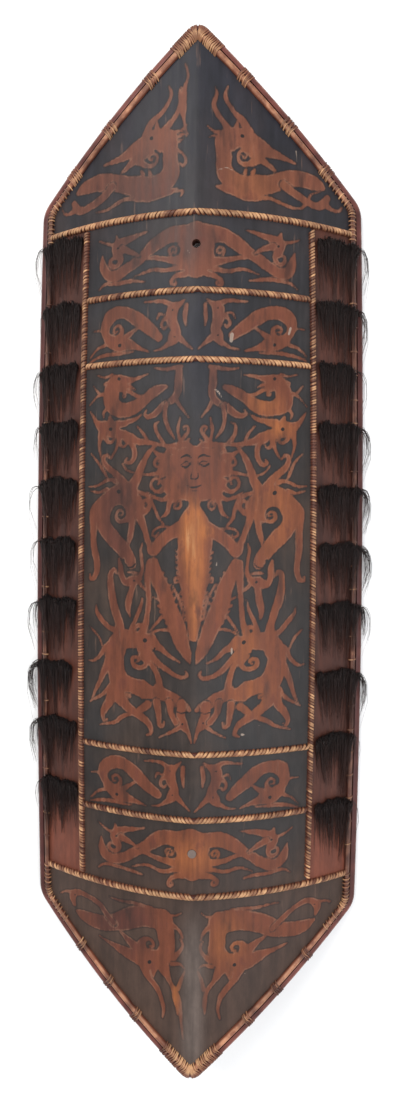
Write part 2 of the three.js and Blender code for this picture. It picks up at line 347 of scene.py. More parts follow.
def rgb(red, green, blue_sheen):
    """A display colour of 0 to 255 as the linear colour that shaders take."""
    def linear(c):
        c /= 255
        return c / 12.92 if c <= 0.04045 else ((c + 0.055) / 1.055) ** 2.4
    return (linear(red), linear(green), linear(blue_sheen), 1)


def plug_wood():
    material, n = new_material("plug_wood")
    grain = n.noise(120, (1.5, 0.4, 1.5), 4.0)
    n.surface(n.mix(grain, rgb(96, 82, 76), rgb(128, 112, 104)), 0.6)
    return material


def rattan(name, dark, middle, light):
    """Cane. shade, from 0 to 1, makes it lighter, and crown is 1 where it stands up, lighter there as
    rubbed cane and as a painted highlight.
    """
    material, n = new_material(name)
    fibres = n.noise(90, (1, 1, 1), 5.0)
    blotches = n.noise(26, (1, 1, 1), 2.0)
    shade = n.value("shade")
    crown = n.value("crown")
    color = n.mix(n.span(shade, 0, 0.9), dark, middle)
    # lit: the light colour on the crown, partly rubbed cane and partly a painted highlight
    lit = n.math("MULTIPLY", n.span(crown, 0.35, 0.95), n.span(shade, 0, 0.9, 0.12, 1))
    lit = n.math("MULTIPLY", lit, n.span(fibres, 0.36, 0.6, 0.25, 1))
    color = n.mix(lit, color, light)
    color = n.tint(color, n.span(blotches, 0.3, 0.7, 0.75, 1.12))
    n.surface(color, 0.45)
    n.bump(fibres, 0.3 * MM)
    return material


def hair_material():
    material, n = new_material("hair")
    shade = n.value("shade")
    n.surface(n.mix(shade, rgb(16, 14, 15), rgb(76, 50, 44)), 0.5)
    return material


def floor_material():
    material, n = new_material("studio_floor")
    n.surface(rgb(250, 250, 250), 0.9, 0.1)
    return material


# The board

FACE_STEP = 2.05 * MM
STRIP_STEP = 6.5 * MM
BACK_STEP = 8 * MM
# Share of the board's width between the side lacings
LACED_SHARE = 0.72


def zip_rows(a, b):
    """Triangles between two rows of (position, vertex number), each in rising order."""
    faces = []
    i = j = 0
    while i + 1 < len(a) or j + 1 < len(b):
        take_a = j + 1 >= len(b) or (i + 1 < len(a) and a[i + 1][0] + a[i][0] < b[j + 1][0] + b[j][0])
        if take_a:
            faces.append((a[i][1], a[i + 1][1], b[j][1]))
            i += 1
        else:
            faces.append((a[i][1], b[j + 1][1], b[j][1]))
            j += 1
    return faces


def face_columns(y, half):
    """x of the vertices across the face at y. The plain strips under the hair are coarse."""
    if ROW_Y[5] < y < ROW_Y[0]:
        inner = side_lacing_x(y) + LACING_WIDTH
        fine = np.linspace(-inner, inner, 2 * round(MIDDLE_HALF_WIDTH / FACE_STEP * LACED_SHARE) + 1)
        coarse = np.linspace(inner, half, round((MIDDLE_HALF_WIDTH - inner) / STRIP_STEP) + 1)[1:]
        return np.concatenate([-coarse[::-1], fine, coarse])
    return half * np.linspace(-1, 1, 2 * max(0, round(half / FACE_STEP)) + 1)


def back_columns(y, half):
    hollow = board_half_width(y) - REST_LAND
    if half > hollow:
        inner = np.linspace(-hollow, hollow, 2 * round(hollow / BACK_STEP) + 1)
        return np.concatenate([[-half], inner, [half]])
    return half * np.linspace(-1, 1, 2 * max(0, round(half / BACK_STEP)) + 1)


def board_shell():
    points, normals, _ = outline(2 * MM)
    edge = points - normals * RIM
    top, bottom = edge[0, 1], edge[-1, 1]
    verts = []
    faces = []

    def surface(step, columns, height, flip):
        rows = []
        for y in np.linspace(bottom, top, round((top - bottom) / step) + 1):
            half = float(np.interp(y, edge[::-1, 1], edge[::-1, 0]))
            x = columns(y, half)
            start = len(verts)
            z = height(x, np.full_like(x, y))
            verts.extend(zip(x, np.full_like(x, y), z))
            rows.append((y, [(a, start + k) for k, a in enumerate(x)]))
        for (_, a), (_, b) in zip(rows, rows[1:]):
            if len(a) == len(b):
                new = [(a[k][1], a[k + 1][1], b[k + 1][1], b[k][1]) for k in range(len(a) - 1)]
            else:
                new = zip_rows(a, b)
            faces.extend(face[::-1] if flip else face for face in new)
        return rows

    front = surface(FACE_STEP, face_columns, face_height, False)
    back = surface(BACK_STEP, back_columns, back_height, True)
    for end, flip in ((0, False), (-1, True)):
        wall = zip_rows([(y, row[end][1]) for y, row in front], [(y, row[end][1]) for y, row in back])
        faces.extend(face[::-1] if flip else face for face in wall)
    return verts, faces


def cylinder(radius, y, low, high):
    sides = 32
    angles = np.linspace(0, 2 * math.pi, sides, endpoint=False)
    ring = np.stack([radius * np.cos(angles), y + radius * np.sin(angles), np.zeros(sides)], -1)
    return tubes([[ring + [0, 0, low], ring + [0, 0, high]]])


def grip():
    half_bar = 48 * MM
    foot = 66 * MM
    ceiling = RIDGE_RISE + EDGE_THICKNESS - RIDGE_THICKNESS
    bar_top = ceiling - 38 * MM
    bar_foot = bar_top - 24 * MM
    root = ceiling + 6 * MM
    bar_width = 28 * MM
    foot_width = 56 * MM
    y = np.linspace(-half_bar - foot, half_bar + foot, 73)
    past = np.maximum(0, np.abs(y) - half_bar) / foot

    def ease(low, high):
        t = np.clip((past - low) / (high - low), 0, 1)
        return t * t * (3 - 2 * t)

    top = bar_top + (root - bar_top) * ease(0, 0.6)
    bottom = bar_foot + (root - MM - bar_foot) * ease(0.1, 1)
    width = bar_width + (foot_width - bar_width) * past
    angle = np.linspace(0, 2 * math.pi, 28, endpoint=False)
    x = width[:, None] / 2 * np.cos(angle)
    z = (top + bottom)[:, None] / 2 + (top - bottom)[:, None] / 2 * np.sin(angle)
    return tubes([np.stack([x, np.broadcast_to(y[:, None], x.shape), z], -1)])


def carve(piece, tool_shape, operation):
    tool = bare_object("tool", *tool_shape)
    change = piece.modifiers.new("carve", "BOOLEAN")
    change.operation = operation
    change.solver = "MANIFOLD"
    change.object = tool
    depsgraph = bpy.context.evaluated_depsgraph_get()
    mesh = bpy.data.meshes.new_from_object(piece.evaluated_get(depsgraph))
    piece.modifiers.clear()
    piece.data = mesh
    bpy.data.objects.remove(tool)


def make_board(material):
    piece = bare_object("board_painted", *board_shell())
    carve(piece, grip(), "UNION")
    high = RIDGE_RISE + 3 * EDGE_THICKNESS
    carve(piece, cylinder(HOLE_RADIUS, HOLE_Y, 0, high), "DIFFERENCE")
    carve(piece, cylinder(PLUG_HOLE_RADIUS, PLUG_Y, 0, high), "DIFFERENCE")
    finish_piece(piece, material, ["board"])
    paint_board(piece)


# Painting. Each half of the face is a plate that holds, in millimetres, the distance to what is
# painted there. Strokes are rows of (x from the ridge, y, half the width), in millimetres too.

# A plate runs from just past the ridge to the widest part of the board, and nearly from tip to tip
PLATE_X = -8, 208
PLATE_Y = -612, 612
PLATE_STEP = 0.75
# The distance that stands for nothing painted
PLATE_FAR = 12.0
LAYERS = "figures", "lines", "chips"
# Length of the straight pieces that a stroke is bent from
PATH_SPACING = 2.0
# How far past a stroke its distance is worked out
STROKE_REACH = 6
# The dark gap round a limb that lies in front
DARK_GAP = 1.3
# The lower panels repeat the upper ones this far down
FACE_PANEL_DROP = 717
LOOP_PANEL_DROP = 549


def smooth_path(points):
    """A smooth curve through the points of a stroke."""
    points = np.array(points, float).reshape(-1, 3)
    if len(points) < 3:
        return points
    padded = np.concatenate([2 * points[:1] - points[1:2], points, 2 * points[-1:] - points[-2:-1]])
    parts = []
    for a, b, c, d in zip(padded, padded[1:], padded[2:], padded[3:]):
        steps = max(2, round(np.hypot(*(c - b)[:2]) / PATH_SPACING))
        t = np.linspace(0, 1, steps + 1)[:-1, None]
        square = 2 * a - 5 * b + 4 * c - d
        cube = 3 * b - a - 3 * c + d
        parts.append(0.5 * (2 * b + (c - a) * t + square * t**2 + cube * t**3))
    return np.concatenate(parts + [points[-1:]])


class Plate:
    """Distances to the figures, to the dark lines on them and to the bare chips of one half."""

    def __init__(self):
        self.x = np.arange(*PLATE_X, PLATE_STEP)
        self.y = np.arange(*PLATE_Y, PLATE_STEP)
        shape = len(self.y), len(self.x)
        self.layers = {name: np.full(shape, PLATE_FAR) for name in LAYERS}
        self.down = 0

    def copy(self):
        other = Plate()
        other.layers = {name: values.copy() for name, values in self.layers.items()}
        return other

    def distance(self, points):
        """Part of the plate near a stroke, and the distance to the stroke there."""
        path = smooth_path(points) - [0, self.down, 0]
        reach = path[:, 2].max() + STROKE_REACH
        low = path[:, :2].min(0) - reach
        high = path[:, :2].max(0) + reach
        columns = slice(*np.searchsorted(self.x, (low[0], high[0])))
        rows = slice(*np.searchsorted(self.y, (low[1], high[1])))
        x, y = np.meshgrid(self.x[columns], self.y[rows])
        nearest = np.full(x.shape, PLATE_FAR)
        for (ax, ay, ar), (bx, by, br) in zip(path, path[1:] if len(path) > 1 else path):
            length = max(1e-9, (bx - ax) ** 2 + (by - ay) ** 2)
            t = np.clip(((x - ax) * (bx - ax) + (y - ay) * (by - ay)) / length, 0, 1)
            gap = np.hypot(x - ax - t * (bx - ax), y - ay - t * (by - ay)) - ar - t * (br - ar)
            nearest = np.minimum(nearest, gap)
        return (rows, columns), nearest

    def lay(self, layer, points):
        values = self.layers[layer]
        part, near = self.distance(points)
        values[part] = np.minimum(values[part], near)

    def add(self, *points):
        self.lay("figures", points)

    def line(self, *points):
        self.lay("lines", points)

    def chip(self, *points):
        self.lay("chips", points)

    def cut(self, *points):
        figures = self.layers["figures"]
        part, near = self.distance(points)
        figures[part] = np.maximum(figures[part], -near)

    def over(self, *points):
        """A limb in front of what is there, with a dark gap round it."""
        figures = self.layers["figures"]
        part, near = self.distance(points)
        figures[part] = np.minimum(np.maximum(figures[part], DARK_GAP - near), near)

    def fringe(self, start, end, count, out, up):
        """Small hooks along an edge from start to end, each bent by out and up."""
        for t in np.linspace(0, 1, count):
            x, y = (a + (b - a) * t for a, b in zip(start, end))
            self.add((x, y, 2.2), (x + out * 0.7, y + up * 0.2, 1.3), (x + out, y + up, 0.5))

    def curl(self, x, y, radius, start, turns, wide, narrow):
        """A spiral stroke that winds in from its outer end at the angle start, in degrees."""
        inward = 0.72
        t = np.linspace(0, 1, 9)
        angle = np.radians(start) + turns * 2 * math.pi * t
        r = radius * (1 - inward * t)
        self.add(*zip(x + r * np.cos(angle), y + r * np.sin(angle), wide + (narrow - wide) * t))


def paint_upper_point(p):
    """A dragon along the lacing, its head turned back towards the rim."""
    p.add((31, 496, 9.5), (31, 478, 9), (34, 460, 12), (50, 451, 14), (75, 452, 12), (97, 459, 10))
    p.add((97, 459, 10), (120, 466, 10), (138, 464, 8), (150, 460, 3))
    p.add((34, 498, 12), (52, 498, 14), (68, 494, 11), (84, 490, 6), (100, 487, 3.4), (115, 484, 1.2))
    p.cut((50, 488, 1.5), (43.5, 481, 2.4), (44, 468, 3.6), (56, 463, 4), (70, 467, 5), (84, 468, 3),
          (95, 474, 1))
    p.add((66, 486, 7), (77, 480, 4.5), (91, 471, 1.8))
    p.cut((50, 481, 3), (56, 480, 3.4))
    p.add((72, 480, 5.5), (64, 473, 3.4), (55, 471, 2.3), (48.5, 475, 1.9), (48, 482, 1.6),
          (53, 486, 1.4), (58, 483.5, 1.2))
    p.add((58, 483.5, 1.2), (58, 479, 1.1), (54.5, 477.5, 1), (53, 480.5, 0.8))
    p.add((56, 461, 2.4), (58, 466, 1))
    p.add((65, 462, 2.4), (68, 467, 1))
    p.add((24, 443, 1.6), (36, 440, 4.5), (58, 437, 5.5), (76, 441, 3))
    p.over((103, 456, 5), (114, 448, 4.8), (128, 441, 4.6), (142, 438, 4.2), (152, 442, 5),
           (157, 450, 3.6))
    p.add((155, 441, 3.4), (165, 438, 2), (172, 440, 1.5), (175, 446, 0.8))
    p.add((66, 435, 3), (84, 437, 2.2), (98, 434, 2), (112, 430, 1.6), (126, 430, 0.9))
    p.add((39, 506, 5), (31, 517, 3), (24, 526, 2.4), (20, 537, 2.4), (22, 548, 1.8), (20, 556, 0.8))
    p.add((60, 509, 5), (53, 521, 4), (43, 529, 2.8), (36, 539, 2.2), (32, 549, 2), (34, 559, 0.8))
    p.add((46, 508, 4), (47, 521, 0.8))
    p.add((27, 506, 2.6), (19, 508, 1.4), (12, 513, 0.7))
    p.line((53, 503, 2.2))


def paint_face_panel(p):
    """Two necks that spring from the ridge, under a small dragon's head on each side."""
    p.add((0, 390, 13), (0, 372, 21), (0, 357, 17), (0, 348, 9))
    p.add((0, 390, 12), (15, 389, 10), (32, 389, 9), (48, 381, 8.5), (64, 370, 6.5), (80, 359, 6.3))
    p.add((80, 359, 6.3), (98, 351, 6.5), (109, 354, 6), (114, 364, 4.6), (116, 376, 1))
    p.cut((26, 371, 7.4), (37, 371, 5), (47, 369, 2.5), (55, 367, 0.8))
    p.curl(26.5, 371, 6, -50, 1.15, 1.5, 0.9)
    p.add((18, 359, 6), (36, 361, 3.4), (50, 364.5, 2.6), (62, 366, 1.6))
    p.add((10, 352, 4), (22, 351, 3), (38, 348, 2.2), (55, 351, 1.8), (74, 346, 0.7))
    p.add((12, 345, 4), (23, 342, 2.8), (29, 337, 2.1), (28.5, 331.5, 1.7), (24, 332, 1.3),
          (24, 336, 1))
    p.add((62, 338, 1), (78, 341, 2.1), (98, 342, 2.1), (112, 342, 1.7), (121, 336, 0.8))
    p.add((58, 397, 0.8), (74, 393.5, 2.8), (88, 390, 4.5), (96, 384, 7.5), (96, 374, 5.5))
    p.over((90, 381, 4.5), (80, 376.5, 3), (69, 370, 1.2))
    p.add((96, 376, 5), (93, 367, 3), (99, 361.5, 2.5), (105, 365, 2.1), (104, 371, 1.7),
          (99, 371.5, 1.3))
    p.add((97, 389, 4), (99, 397, 0.8))
    p.add((103, 386, 2), (112, 389, 1.3), (121, 394, 0.7))
    p.line((96, 382, 1.5))


def paint_loop_panel(p):
    """On each side a dragon curled round its own head, and one that stands beside the ridge."""
    p.add((44, 273, 5), (57, 284, 7), (74, 297, 8.5), (92, 304, 9), (107, 301, 8.5), (113, 289, 6),
          (108, 278, 6))
    p.add((104, 274, 9), (94, 268, 9.5), (84, 266, 6.5), (72, 262, 3.2), (57, 257, 0.9))
    p.cut((80, 289, 2), (89, 293, 4), (98, 291, 5.5), (103, 285, 4), (98, 281, 3))
    p.add((86, 274, 4), (78, 280, 2.2), (67, 288, 0.9))
    p.add((93, 275, 3.5), (90.5, 284, 2.1), (95, 289.5, 1.8), (100.5, 287, 1.5), (99.5, 282, 1.2),
          (96, 283, 0.9))
    p.add((76, 257, 1), (100, 256, 2.3), (120, 254, 1.8), (133, 250, 0.7))
    p.add((111, 268, 2.2), (122, 264, 1.4), (132, 255, 0.7))
    p.add((112, 279, 2), (119, 287, 1.3), (129, 287, 0.7))
    p.line((94, 266, 2.1))
    p.add((13, 315, 0.8), (20, 309, 3), (27, 304, 7), (27, 292, 6.5), (23, 281, 5.5), (25, 272, 7),
          (31, 263, 2))
    p.add((28, 309, 3), (40, 314, 2.3), (60, 313, 0.9))
    p.add((20, 272, 4), (11, 263, 2.2), (3, 256, 0.8))
    p.add((30, 266, 3), (40, 260, 1.6), (51, 258, 0.7))
    p.add((30, 297, 4), (38, 292, 2), (40, 286, 1.8), (36.5, 282, 1.5), (33.5, 285, 1.1))
    p.add((11, 309, 2), (12, 296, 2.5), (11, 284, 0.8))
    p.add((37, 298, 1.2), (43, 299.5, 1.3), (46, 293, 0.8))
    p.line((27, 304, 1.3))
    p.line((25, 273, 1.3))


def paint_crescent(p):
    """Crescent dragons under the third row and their tails, which cross beside the ridge."""
    p.add((36, 214, 3), (47, 209, 6), (60, 201, 6), (76, 191, 8), (92, 190, 8.5), (104, 199, 10.5),
          (104, 212, 10))
    p.add((104, 212, 10), (98, 221, 9), (90, 224, 7), (76, 225.5, 3), (57, 230, 0.8))
    p.add((88, 217, 5), (78, 217, 2), (72, 214, 0.8))
    p.cut((64, 206, 0.6), (74, 204, 3.4), (84, 204, 5), (91, 207, 3))
    p.add((93, 213, 2), (80, 211, 2.4), (70, 206, 2.2), (61, 206, 1))
    p.curl(87, 206.5, 3.4, 90, 1.1, 1.3, 0.9)
    p.add((107, 222, 2.4), (112, 221, 1.6), (111, 217.5, 1))
    p.add((112, 210, 2.6), (122, 207, 1.4), (134, 196, 0.6))
    p.add((119, 209, 1.2), (124, 214, 1.2), (129, 221, 0.6))
    p.add((110, 192, 2), (115, 187, 1.6), (114, 181, 0.8))
    p.add((101, 231, 1.6), (112, 229, 1.1), (123, 233, 0.7))
    p.line((93, 226, 2.1))
    p.add((17, 236, 2), (32, 235, 2.3), (50, 237.5, 0.8))
    p.add((20, 234, 3.4), (21, 220, 4.6), (21, 206, 4.4), (27, 197, 4), (37, 191, 4.2), (48, 182, 3.8),
          (57, 179, 2.8))
    p.add((57, 179, 2.8), (61.5, 182, 1.9), (59, 187.5, 1.1))
    p.add((22, 200, 2.2), (16, 189, 1.7), (7, 178, 0.8))
    p.over((33, 193, 2.6), (35, 178, 2.5), (32, 164, 2.1), (24, 153, 0.9))
    p.add((18, 148, 2.4), (12, 155, 1.9), (7.5, 162, 1.7), (9, 168, 1.4), (13.5, 166.5, 1.1),
          (12, 163, 0.8))
    p.add((18, 152, 1.8), (20, 164, 1.8), (17, 178, 0.9))
    p.add((38, 147, 2.4), (46, 158, 2.1), (48, 169, 1.7), (43, 173, 0.8))


def paint_ridge_figure(p):
    """A standing figure on the ridge with curled hair, its arms and legs bent outwards."""
    p.add((0, 124, 21), (11, 122, 21), (18, 118, 20))
    p.add((0, 106, 22), (16, 106, 20), (20, 102, 18))
    p.add((0, 94, 17), (14, 94, 14), (20, 92, 11))
    p.add((35, 118, 6), (38, 112, 5), (34, 104, 6))
    p.add((24, 138, 5), (31, 140, 3), (36, 135, 1.6))
    p.add((38, 128, 3), (42, 118, 2.4), (45, 112, 1.2))
    p.cut((40, 106, 1.4), (35, 108, 0.8))
    p.cut((31, 133, 0.6), (34, 129, 1.2), (38, 132, 0.8))
    p.add((6, 143, 4), (9, 149, 2), (6, 153, 0.9))
    p.add((0, 86, 10), (0, 75, 6), (0, 64, 10), (0, 48, 19), (0, 30, 21), (0, 5, 19), (0, -20, 15),
          (0, -50, 10), (0, -84, 5))
    p.add((34, 131, 5), (43, 133, 3), (50, 138, 1.4))
    p.curl(43, 124, 6.6, 120, -1.1, 1.8, 1.0)
    p.add((36, 114, 3), (50, 112, 1.8), (64, 110.5, 0.9))
    p.add((34, 96, 4), (43, 91.5, 2.4), (51, 95.5, 2), (52, 103, 1.7), (46.5, 107.5, 1.5),
          (41.5, 104.5, 1.3), (43.5, 100, 1))
    p.add((28, 86, 4), (37, 82, 2.4), (48, 85, 2), (58, 90.5, 0.8))
    p.add((24, 88, 5), (30, 76, 3), (33, 66, 2.6), (40, 60, 1.2))
    p.curl(21, 73.5, 7, 40, 1.15, 1.6, 0.9)
    p.add((12, 146, 4.5), (34, 145, 2), (54, 147, 2.5), (70, 150, 4), (80, 156, 5.5), (92, 161, 6))
    p.add((15, 47, 9), (30, 39, 7), (42, 29, 6.5), (50, 18, 5), (55, 30, 3.4), (61, 44, 3.2),
          (66, 58, 3.6))
    p.add((30, 48, 1), (42, 47.5, 1.3), (50, 44, 1.4), (51, 38.5, 1.3), (46, 37, 1.1), (44, 41, 0.9))
    p.add((37, 50, 1), (45, 60, 1.8), (49, 73, 1.8), (55, 84, 2.2), (66, 89, 2.2), (80, 91, 2.5))
    p.over((48, 7, 4), (46, -6, 8), (38, -25, 9.5), (31, -45, 10), (24, -62, 10.5), (17, -82, 9.5),
           (9, -102, 6), (2, -115, 1.5))
    p.add((52, 4, 5.5), (55.5, -12, 4.4), (55.5, -30, 3.2), (57, -50, 3.2), (58.5, -68, 3.6),
          (62, -80, 5))
    p.fringe((19, 18), (15, -14), 6, 4.5, 2.5)
    p.fringe((12, -30), (7, -62), 6, 4, 3)
    p.fringe((39, -8), (22, -44), 6, -4, 3)
    p.fringe((41, -46), (31, -66), 4, 4.5, 2)
    p.cut((0, -98, 3), (0, -125, 3))
    p.add((12, -24, 2.2), (17, -13, 1.6), (22, -11.5, 1.4), (22, -16.5, 1.2), (18, -16, 0.8))
    p.add((26, -19, 0.9), (18, -33, 1.4), (14, -46, 1.4), (11.5, -62, 0.8))
    p.add((50, -36, 0.9), (42, -40, 1.4), (36, -46, 1.8))
    p.add((39, -58, 1.8), (47, -68, 1.5), (53, -77, 0.8))
    p.add((30, -74, 2), (42, -74, 1.5), (53, -80, 0.8))


def paint_calm_face(p):
    """The figure's face: lowered lids, level brows, a slim nose and a closed mouth."""
    p.line((4.5, 130.5, 0.9), (10, 133.8, 1.3), (18, 131.5, 0.7))
    p.line((5, 123, 0.7), (11, 119.6, 1.2), (17.5, 122.8, 0.7))
    p.line((5, 123, 0.4), (11, 126.6, 0.8), (17.5, 122.8, 0.4))
    p.line((3.4, 127, 0.6), (3, 114, 0.6), (4.8, 106.6, 0.8), (0, 104.4, 0.8))
    p.line((0, 95.4, 1.1), (5, 96, 0.9), (9.5, 97.6, 0.5))
    p.line((0, 91, 0.6), (4, 91.8, 0.5))


def paint_side_dragon(p):
    """The upper dragon at each side, with a long strip down the lacing and a small hooked head below."""
    p.add((93, 94, 6.5), (88, 82, 12), (86, 70, 13))
    p.add((92, 88, 11), (104, 78, 14), (113, 62, 14), (110, 47, 11), (99, 33, 10), (88, 22, 9),
          (79, 11, 7.5), (76, 3, 5.5))
    p.cut((92, 66, 3), (99, 61, 3.4), (94, 52, 4.6), (87, 42, 4), (83, 34, 1))
    p.cut((94.5, 64, 9.6), (98, 58, 7.6), (95.5, 50, 4.5))
    p.add((80, 59, 4.5), (85, 56, 2.8), (92, 54.5, 2.2), (97.3, 59, 1.9), (97, 65, 1.7),
          (92, 67.5, 1.5), (88.6, 64, 1.3))
    p.add((88.6, 64, 1.3), (90, 61.4, 1.1), (92.4, 61.6, 0.9))
    p.add((74, 88, 5), (75, 97, 6), (69, 106, 5.2), (65, 116, 4.4), (61, 127, 3.8), (56, 136, 2.8),
          (48, 145, 1.4))
    p.add((82, 92, 8), (88, 101, 6), (95, 109, 4.5), (104, 117, 3.8), (111, 125, 3.4), (113, 133, 2.8),
          (108, 137, 1.8), (105, 133, 1.2))
    p.add((72, 78, 9), (64, 68, 5), (57, 69, 3), (54, 76, 2.6), (58.5, 81, 2), (63, 78, 1.6),
          (61, 74.5, 1.2))
    p.add((68, 64, 6), (64, 52, 4), (60, 42, 3.2), (57, 32, 3))
    p.add((76, 66, 5), (77, 50, 3.6), (79, 36, 3.2), (80, 27, 1.2))
    p.add((112, 80, 8), (124, 68, 6.5), (127, 48, 4.8), (127, 28, 4.4), (124.5, 8, 4.2), (124, -6, 3.8),
          (127, -16, 3.2))
    p.add((127, -16, 3.2), (132, -17, 2), (133, -11.5, 1.2))
    p.add((98, 102, 3), (104, 104.5, 2.4), (113, 102.5, 1.9), (123, 98.5, 1.6), (135, 98, 0.8))
    p.add((110, 92, 3), (121, 90, 1.7), (133, 93, 0.8))
    p.add((131, 138, 0.8), (120, 126, 1.6), (113, 113, 1.8), (109, 106, 0.9))
    p.add((72, 111.5, 1), (82, 115, 1.4), (89, 123, 0.8))
    p.line((94, 90, 2.6))
    p.line((71, 4, 0.8), (76, -0.5, 1), (83, 0, 0.8))
    p.add((93, 9, 1.5), (90.5, 0, 3.4), (90.5, -10, 3.6), (86.5, -20, 4), (76, -18, 6.5),
          (67, -15, 3.2))
    p.cut((86, 9, 1.6), (85.5, -4, 1.4))
    p.add((70, -8, 1.4), (76, -7, 2), (82, -7, 0.8))
    p.add((68, -15, 3), (63.5, -6, 2.2), (63, 8, 1.8), (64, 20, 1.4), (62.5, 29, 0.7))
    p.add((68, -19, 2), (59, -27.5, 1.4), (54, -26, 0.8))
    p.add((75, -22, 3.6), (78, -33, 4), (81, -45, 4), (81, -54, 2.6), (79, -62, 0.8))
    p.line((74, -17.5, 1.6))


def paint_looking_head(p):
    """The small dragon's head at the end of each upper arm."""
    p.add((92, 162, 6.5), (104, 167, 10), (114, 170, 7), (123, 176, 3), (133, 189, 0.7))
    p.add((96, 172, 6), (84, 175, 3.2), (73, 177, 2.4), (66, 182, 0.8))
    p.add((104, 174, 5), (106, 182, 1.6))
    p.cut((86, 168, 2.4), (92, 168, 1.2))
    p.add((115, 166, 5), (118.5, 155, 2.4), (119.5, 145, 1.9), (117, 134, 0.8))
    p.add((94, 157, 3), (94.5, 148, 2), (97.5, 139, 1.7), (103.5, 131, 0.8))
    p.add((112, 159, 3), (109, 153.5, 2.2), (103.5, 151, 1.8), (99.5, 154.5, 1.5), (103, 157.5, 1))
    p.add((84, 155, 4.5), (77, 148, 3), (73.5, 139, 2.9), (74.5, 129, 2.8), (79.5, 123.5, 2.3),
          (85, 126, 1.9), (82.5, 130, 1.2))
    p.add((93, 155, 3), (91, 147, 1.9), (86, 144, 1.6), (83, 148, 1))
    p.add((59, 150, 2), (62, 157, 1.7), (71, 168, 0.8))
    p.line((105, 167, 2.2))


def paint_lower_dragon(p):
    """The largest dragon at each side of the lower field, its jaws towards the ridge."""
    p.add((60, -86, 7), (76, -88, 11), (91, -92, 12), (98, -106, 13), (98, -124, 11.5), (92, -140, 13),
          (76, -149, 13))
    p.add((76, -149, 13), (56, -150, 11), (38, -153, 8), (24, -158, 7), (12, -165, 6), (4, -170, 2))
    p.add((62, -92, 9), (58, -104, 9), (55, -112, 5))
    p.cut((66, -103, 1), (75, -105, 3), (83, -111, 4), (82, -121, 4.6), (72, -128, 3.6),
          (62, -131, 5.5), (51, -141, 3.5))
    p.add((56, -108, 5), (58, -118, 3), (66, -122.5, 3), (74.5, -119, 2.9), (75.5, -112, 2.5),
          (70, -109, 2), (66.5, -112.5, 1.5), (69.5, -115, 1.1))
    p.add((52, -86, 6.5), (46, -94, 5.5), (38, -98, 3.4), (29, -106, 2.4), (16, -114, 0.9))
    p.add((54, -104, 6), (45, -112, 3.6), (36, -121, 3.2), (24, -129, 2.6), (13, -132, 2.3),
          (7, -128, 1.8), (9, -123.5, 1))
    p.add((55, -110, 3), (48, -121, 3.2), (43, -133, 3.6), (40, -147, 4.5))
    p.add((76, -82, 5), (73, -68, 2.6), (68, -54, 2.2), (63.5, -38, 0.9))
    p.add((92, -84, 8), (92, -72, 5.5), (97, -55, 5), (102, -40, 5), (105, -22, 4), (104, -9, 3.4),
          (99.5, -4, 2.6), (96, -9, 1.4))
    p.add((97, -82, 3.4), (107, -76, 3), (116, -66, 2.9), (122, -57, 2.2), (123.5, -49, 0.8))
    p.add((116, -101, 1), (122, -88, 1.6), (132, -77, 0.8))
    p.add((100, -94, 5), (111, -101, 3.2), (118, -113, 2.5), (126, -120, 1.8), (134, -120, 0.8))
    p.add((106, -118, 6), (114, -134, 3.8), (120, -148, 2.8), (125, -160, 1.7), (129, -170, 0.7))
    p.add((104, -148, 2.6), (113, -159, 2.1), (131, -172, 0.8))
    p.cut((62, -165, 2.4), (72, -163, 6.5), (82, -158, 5))
    p.curl(82, -158, 3.6, 200, -1.0, 1.3, 0.9)
    p.add((94, -146, 10), (92, -160, 8), (84, -170, 6), (74, -177, 5.5), (62, -184, 4.6),
          (53, -192, 3.4), (50, -201, 2.2), (56, -205, 0.8))
    p.add((56, -168, 5), (66, -176, 4))
    p.add((100, -152, 6), (104, -166, 5.4), (111, -176, 4.4), (115, -186, 3), (113, -193, 1.6),
          (108, -190, 0.9))
    p.add((76, -182, 2), (88, -186, 2.8), (98, -193, 2.2), (119, -199, 0.8))
    p.over((14, -164, 6.5), (15, -175, 5.6), (13, -186, 6.4), (6, -196, 2.6), (2, -209, 0.8))
    p.over((30, -162, 4.6), (28, -174, 3.6), (21, -185, 3.6))
    p.over((45, -164, 4.6), (43, -178, 3.4), (41, -190, 2.6), (36.5, -192, 1.7), (35, -186, 0.9))
    p.add((17, -191, 2.6), (26, -198, 1.7), (40, -205, 0.7))
    p.add((60, -76, 2.6), (65, -71, 2.6), (71, -73, 2.2), (70.5, -78, 1.4))
    p.line((59, -88, 2.5))
    p.line((13, -186, 1.4))
    p.line((6, -172, 0.8), (14, -173.5, 0.9), (21, -172, 0.8))
    p.line((46, -97, 1), (48, -101, 1))


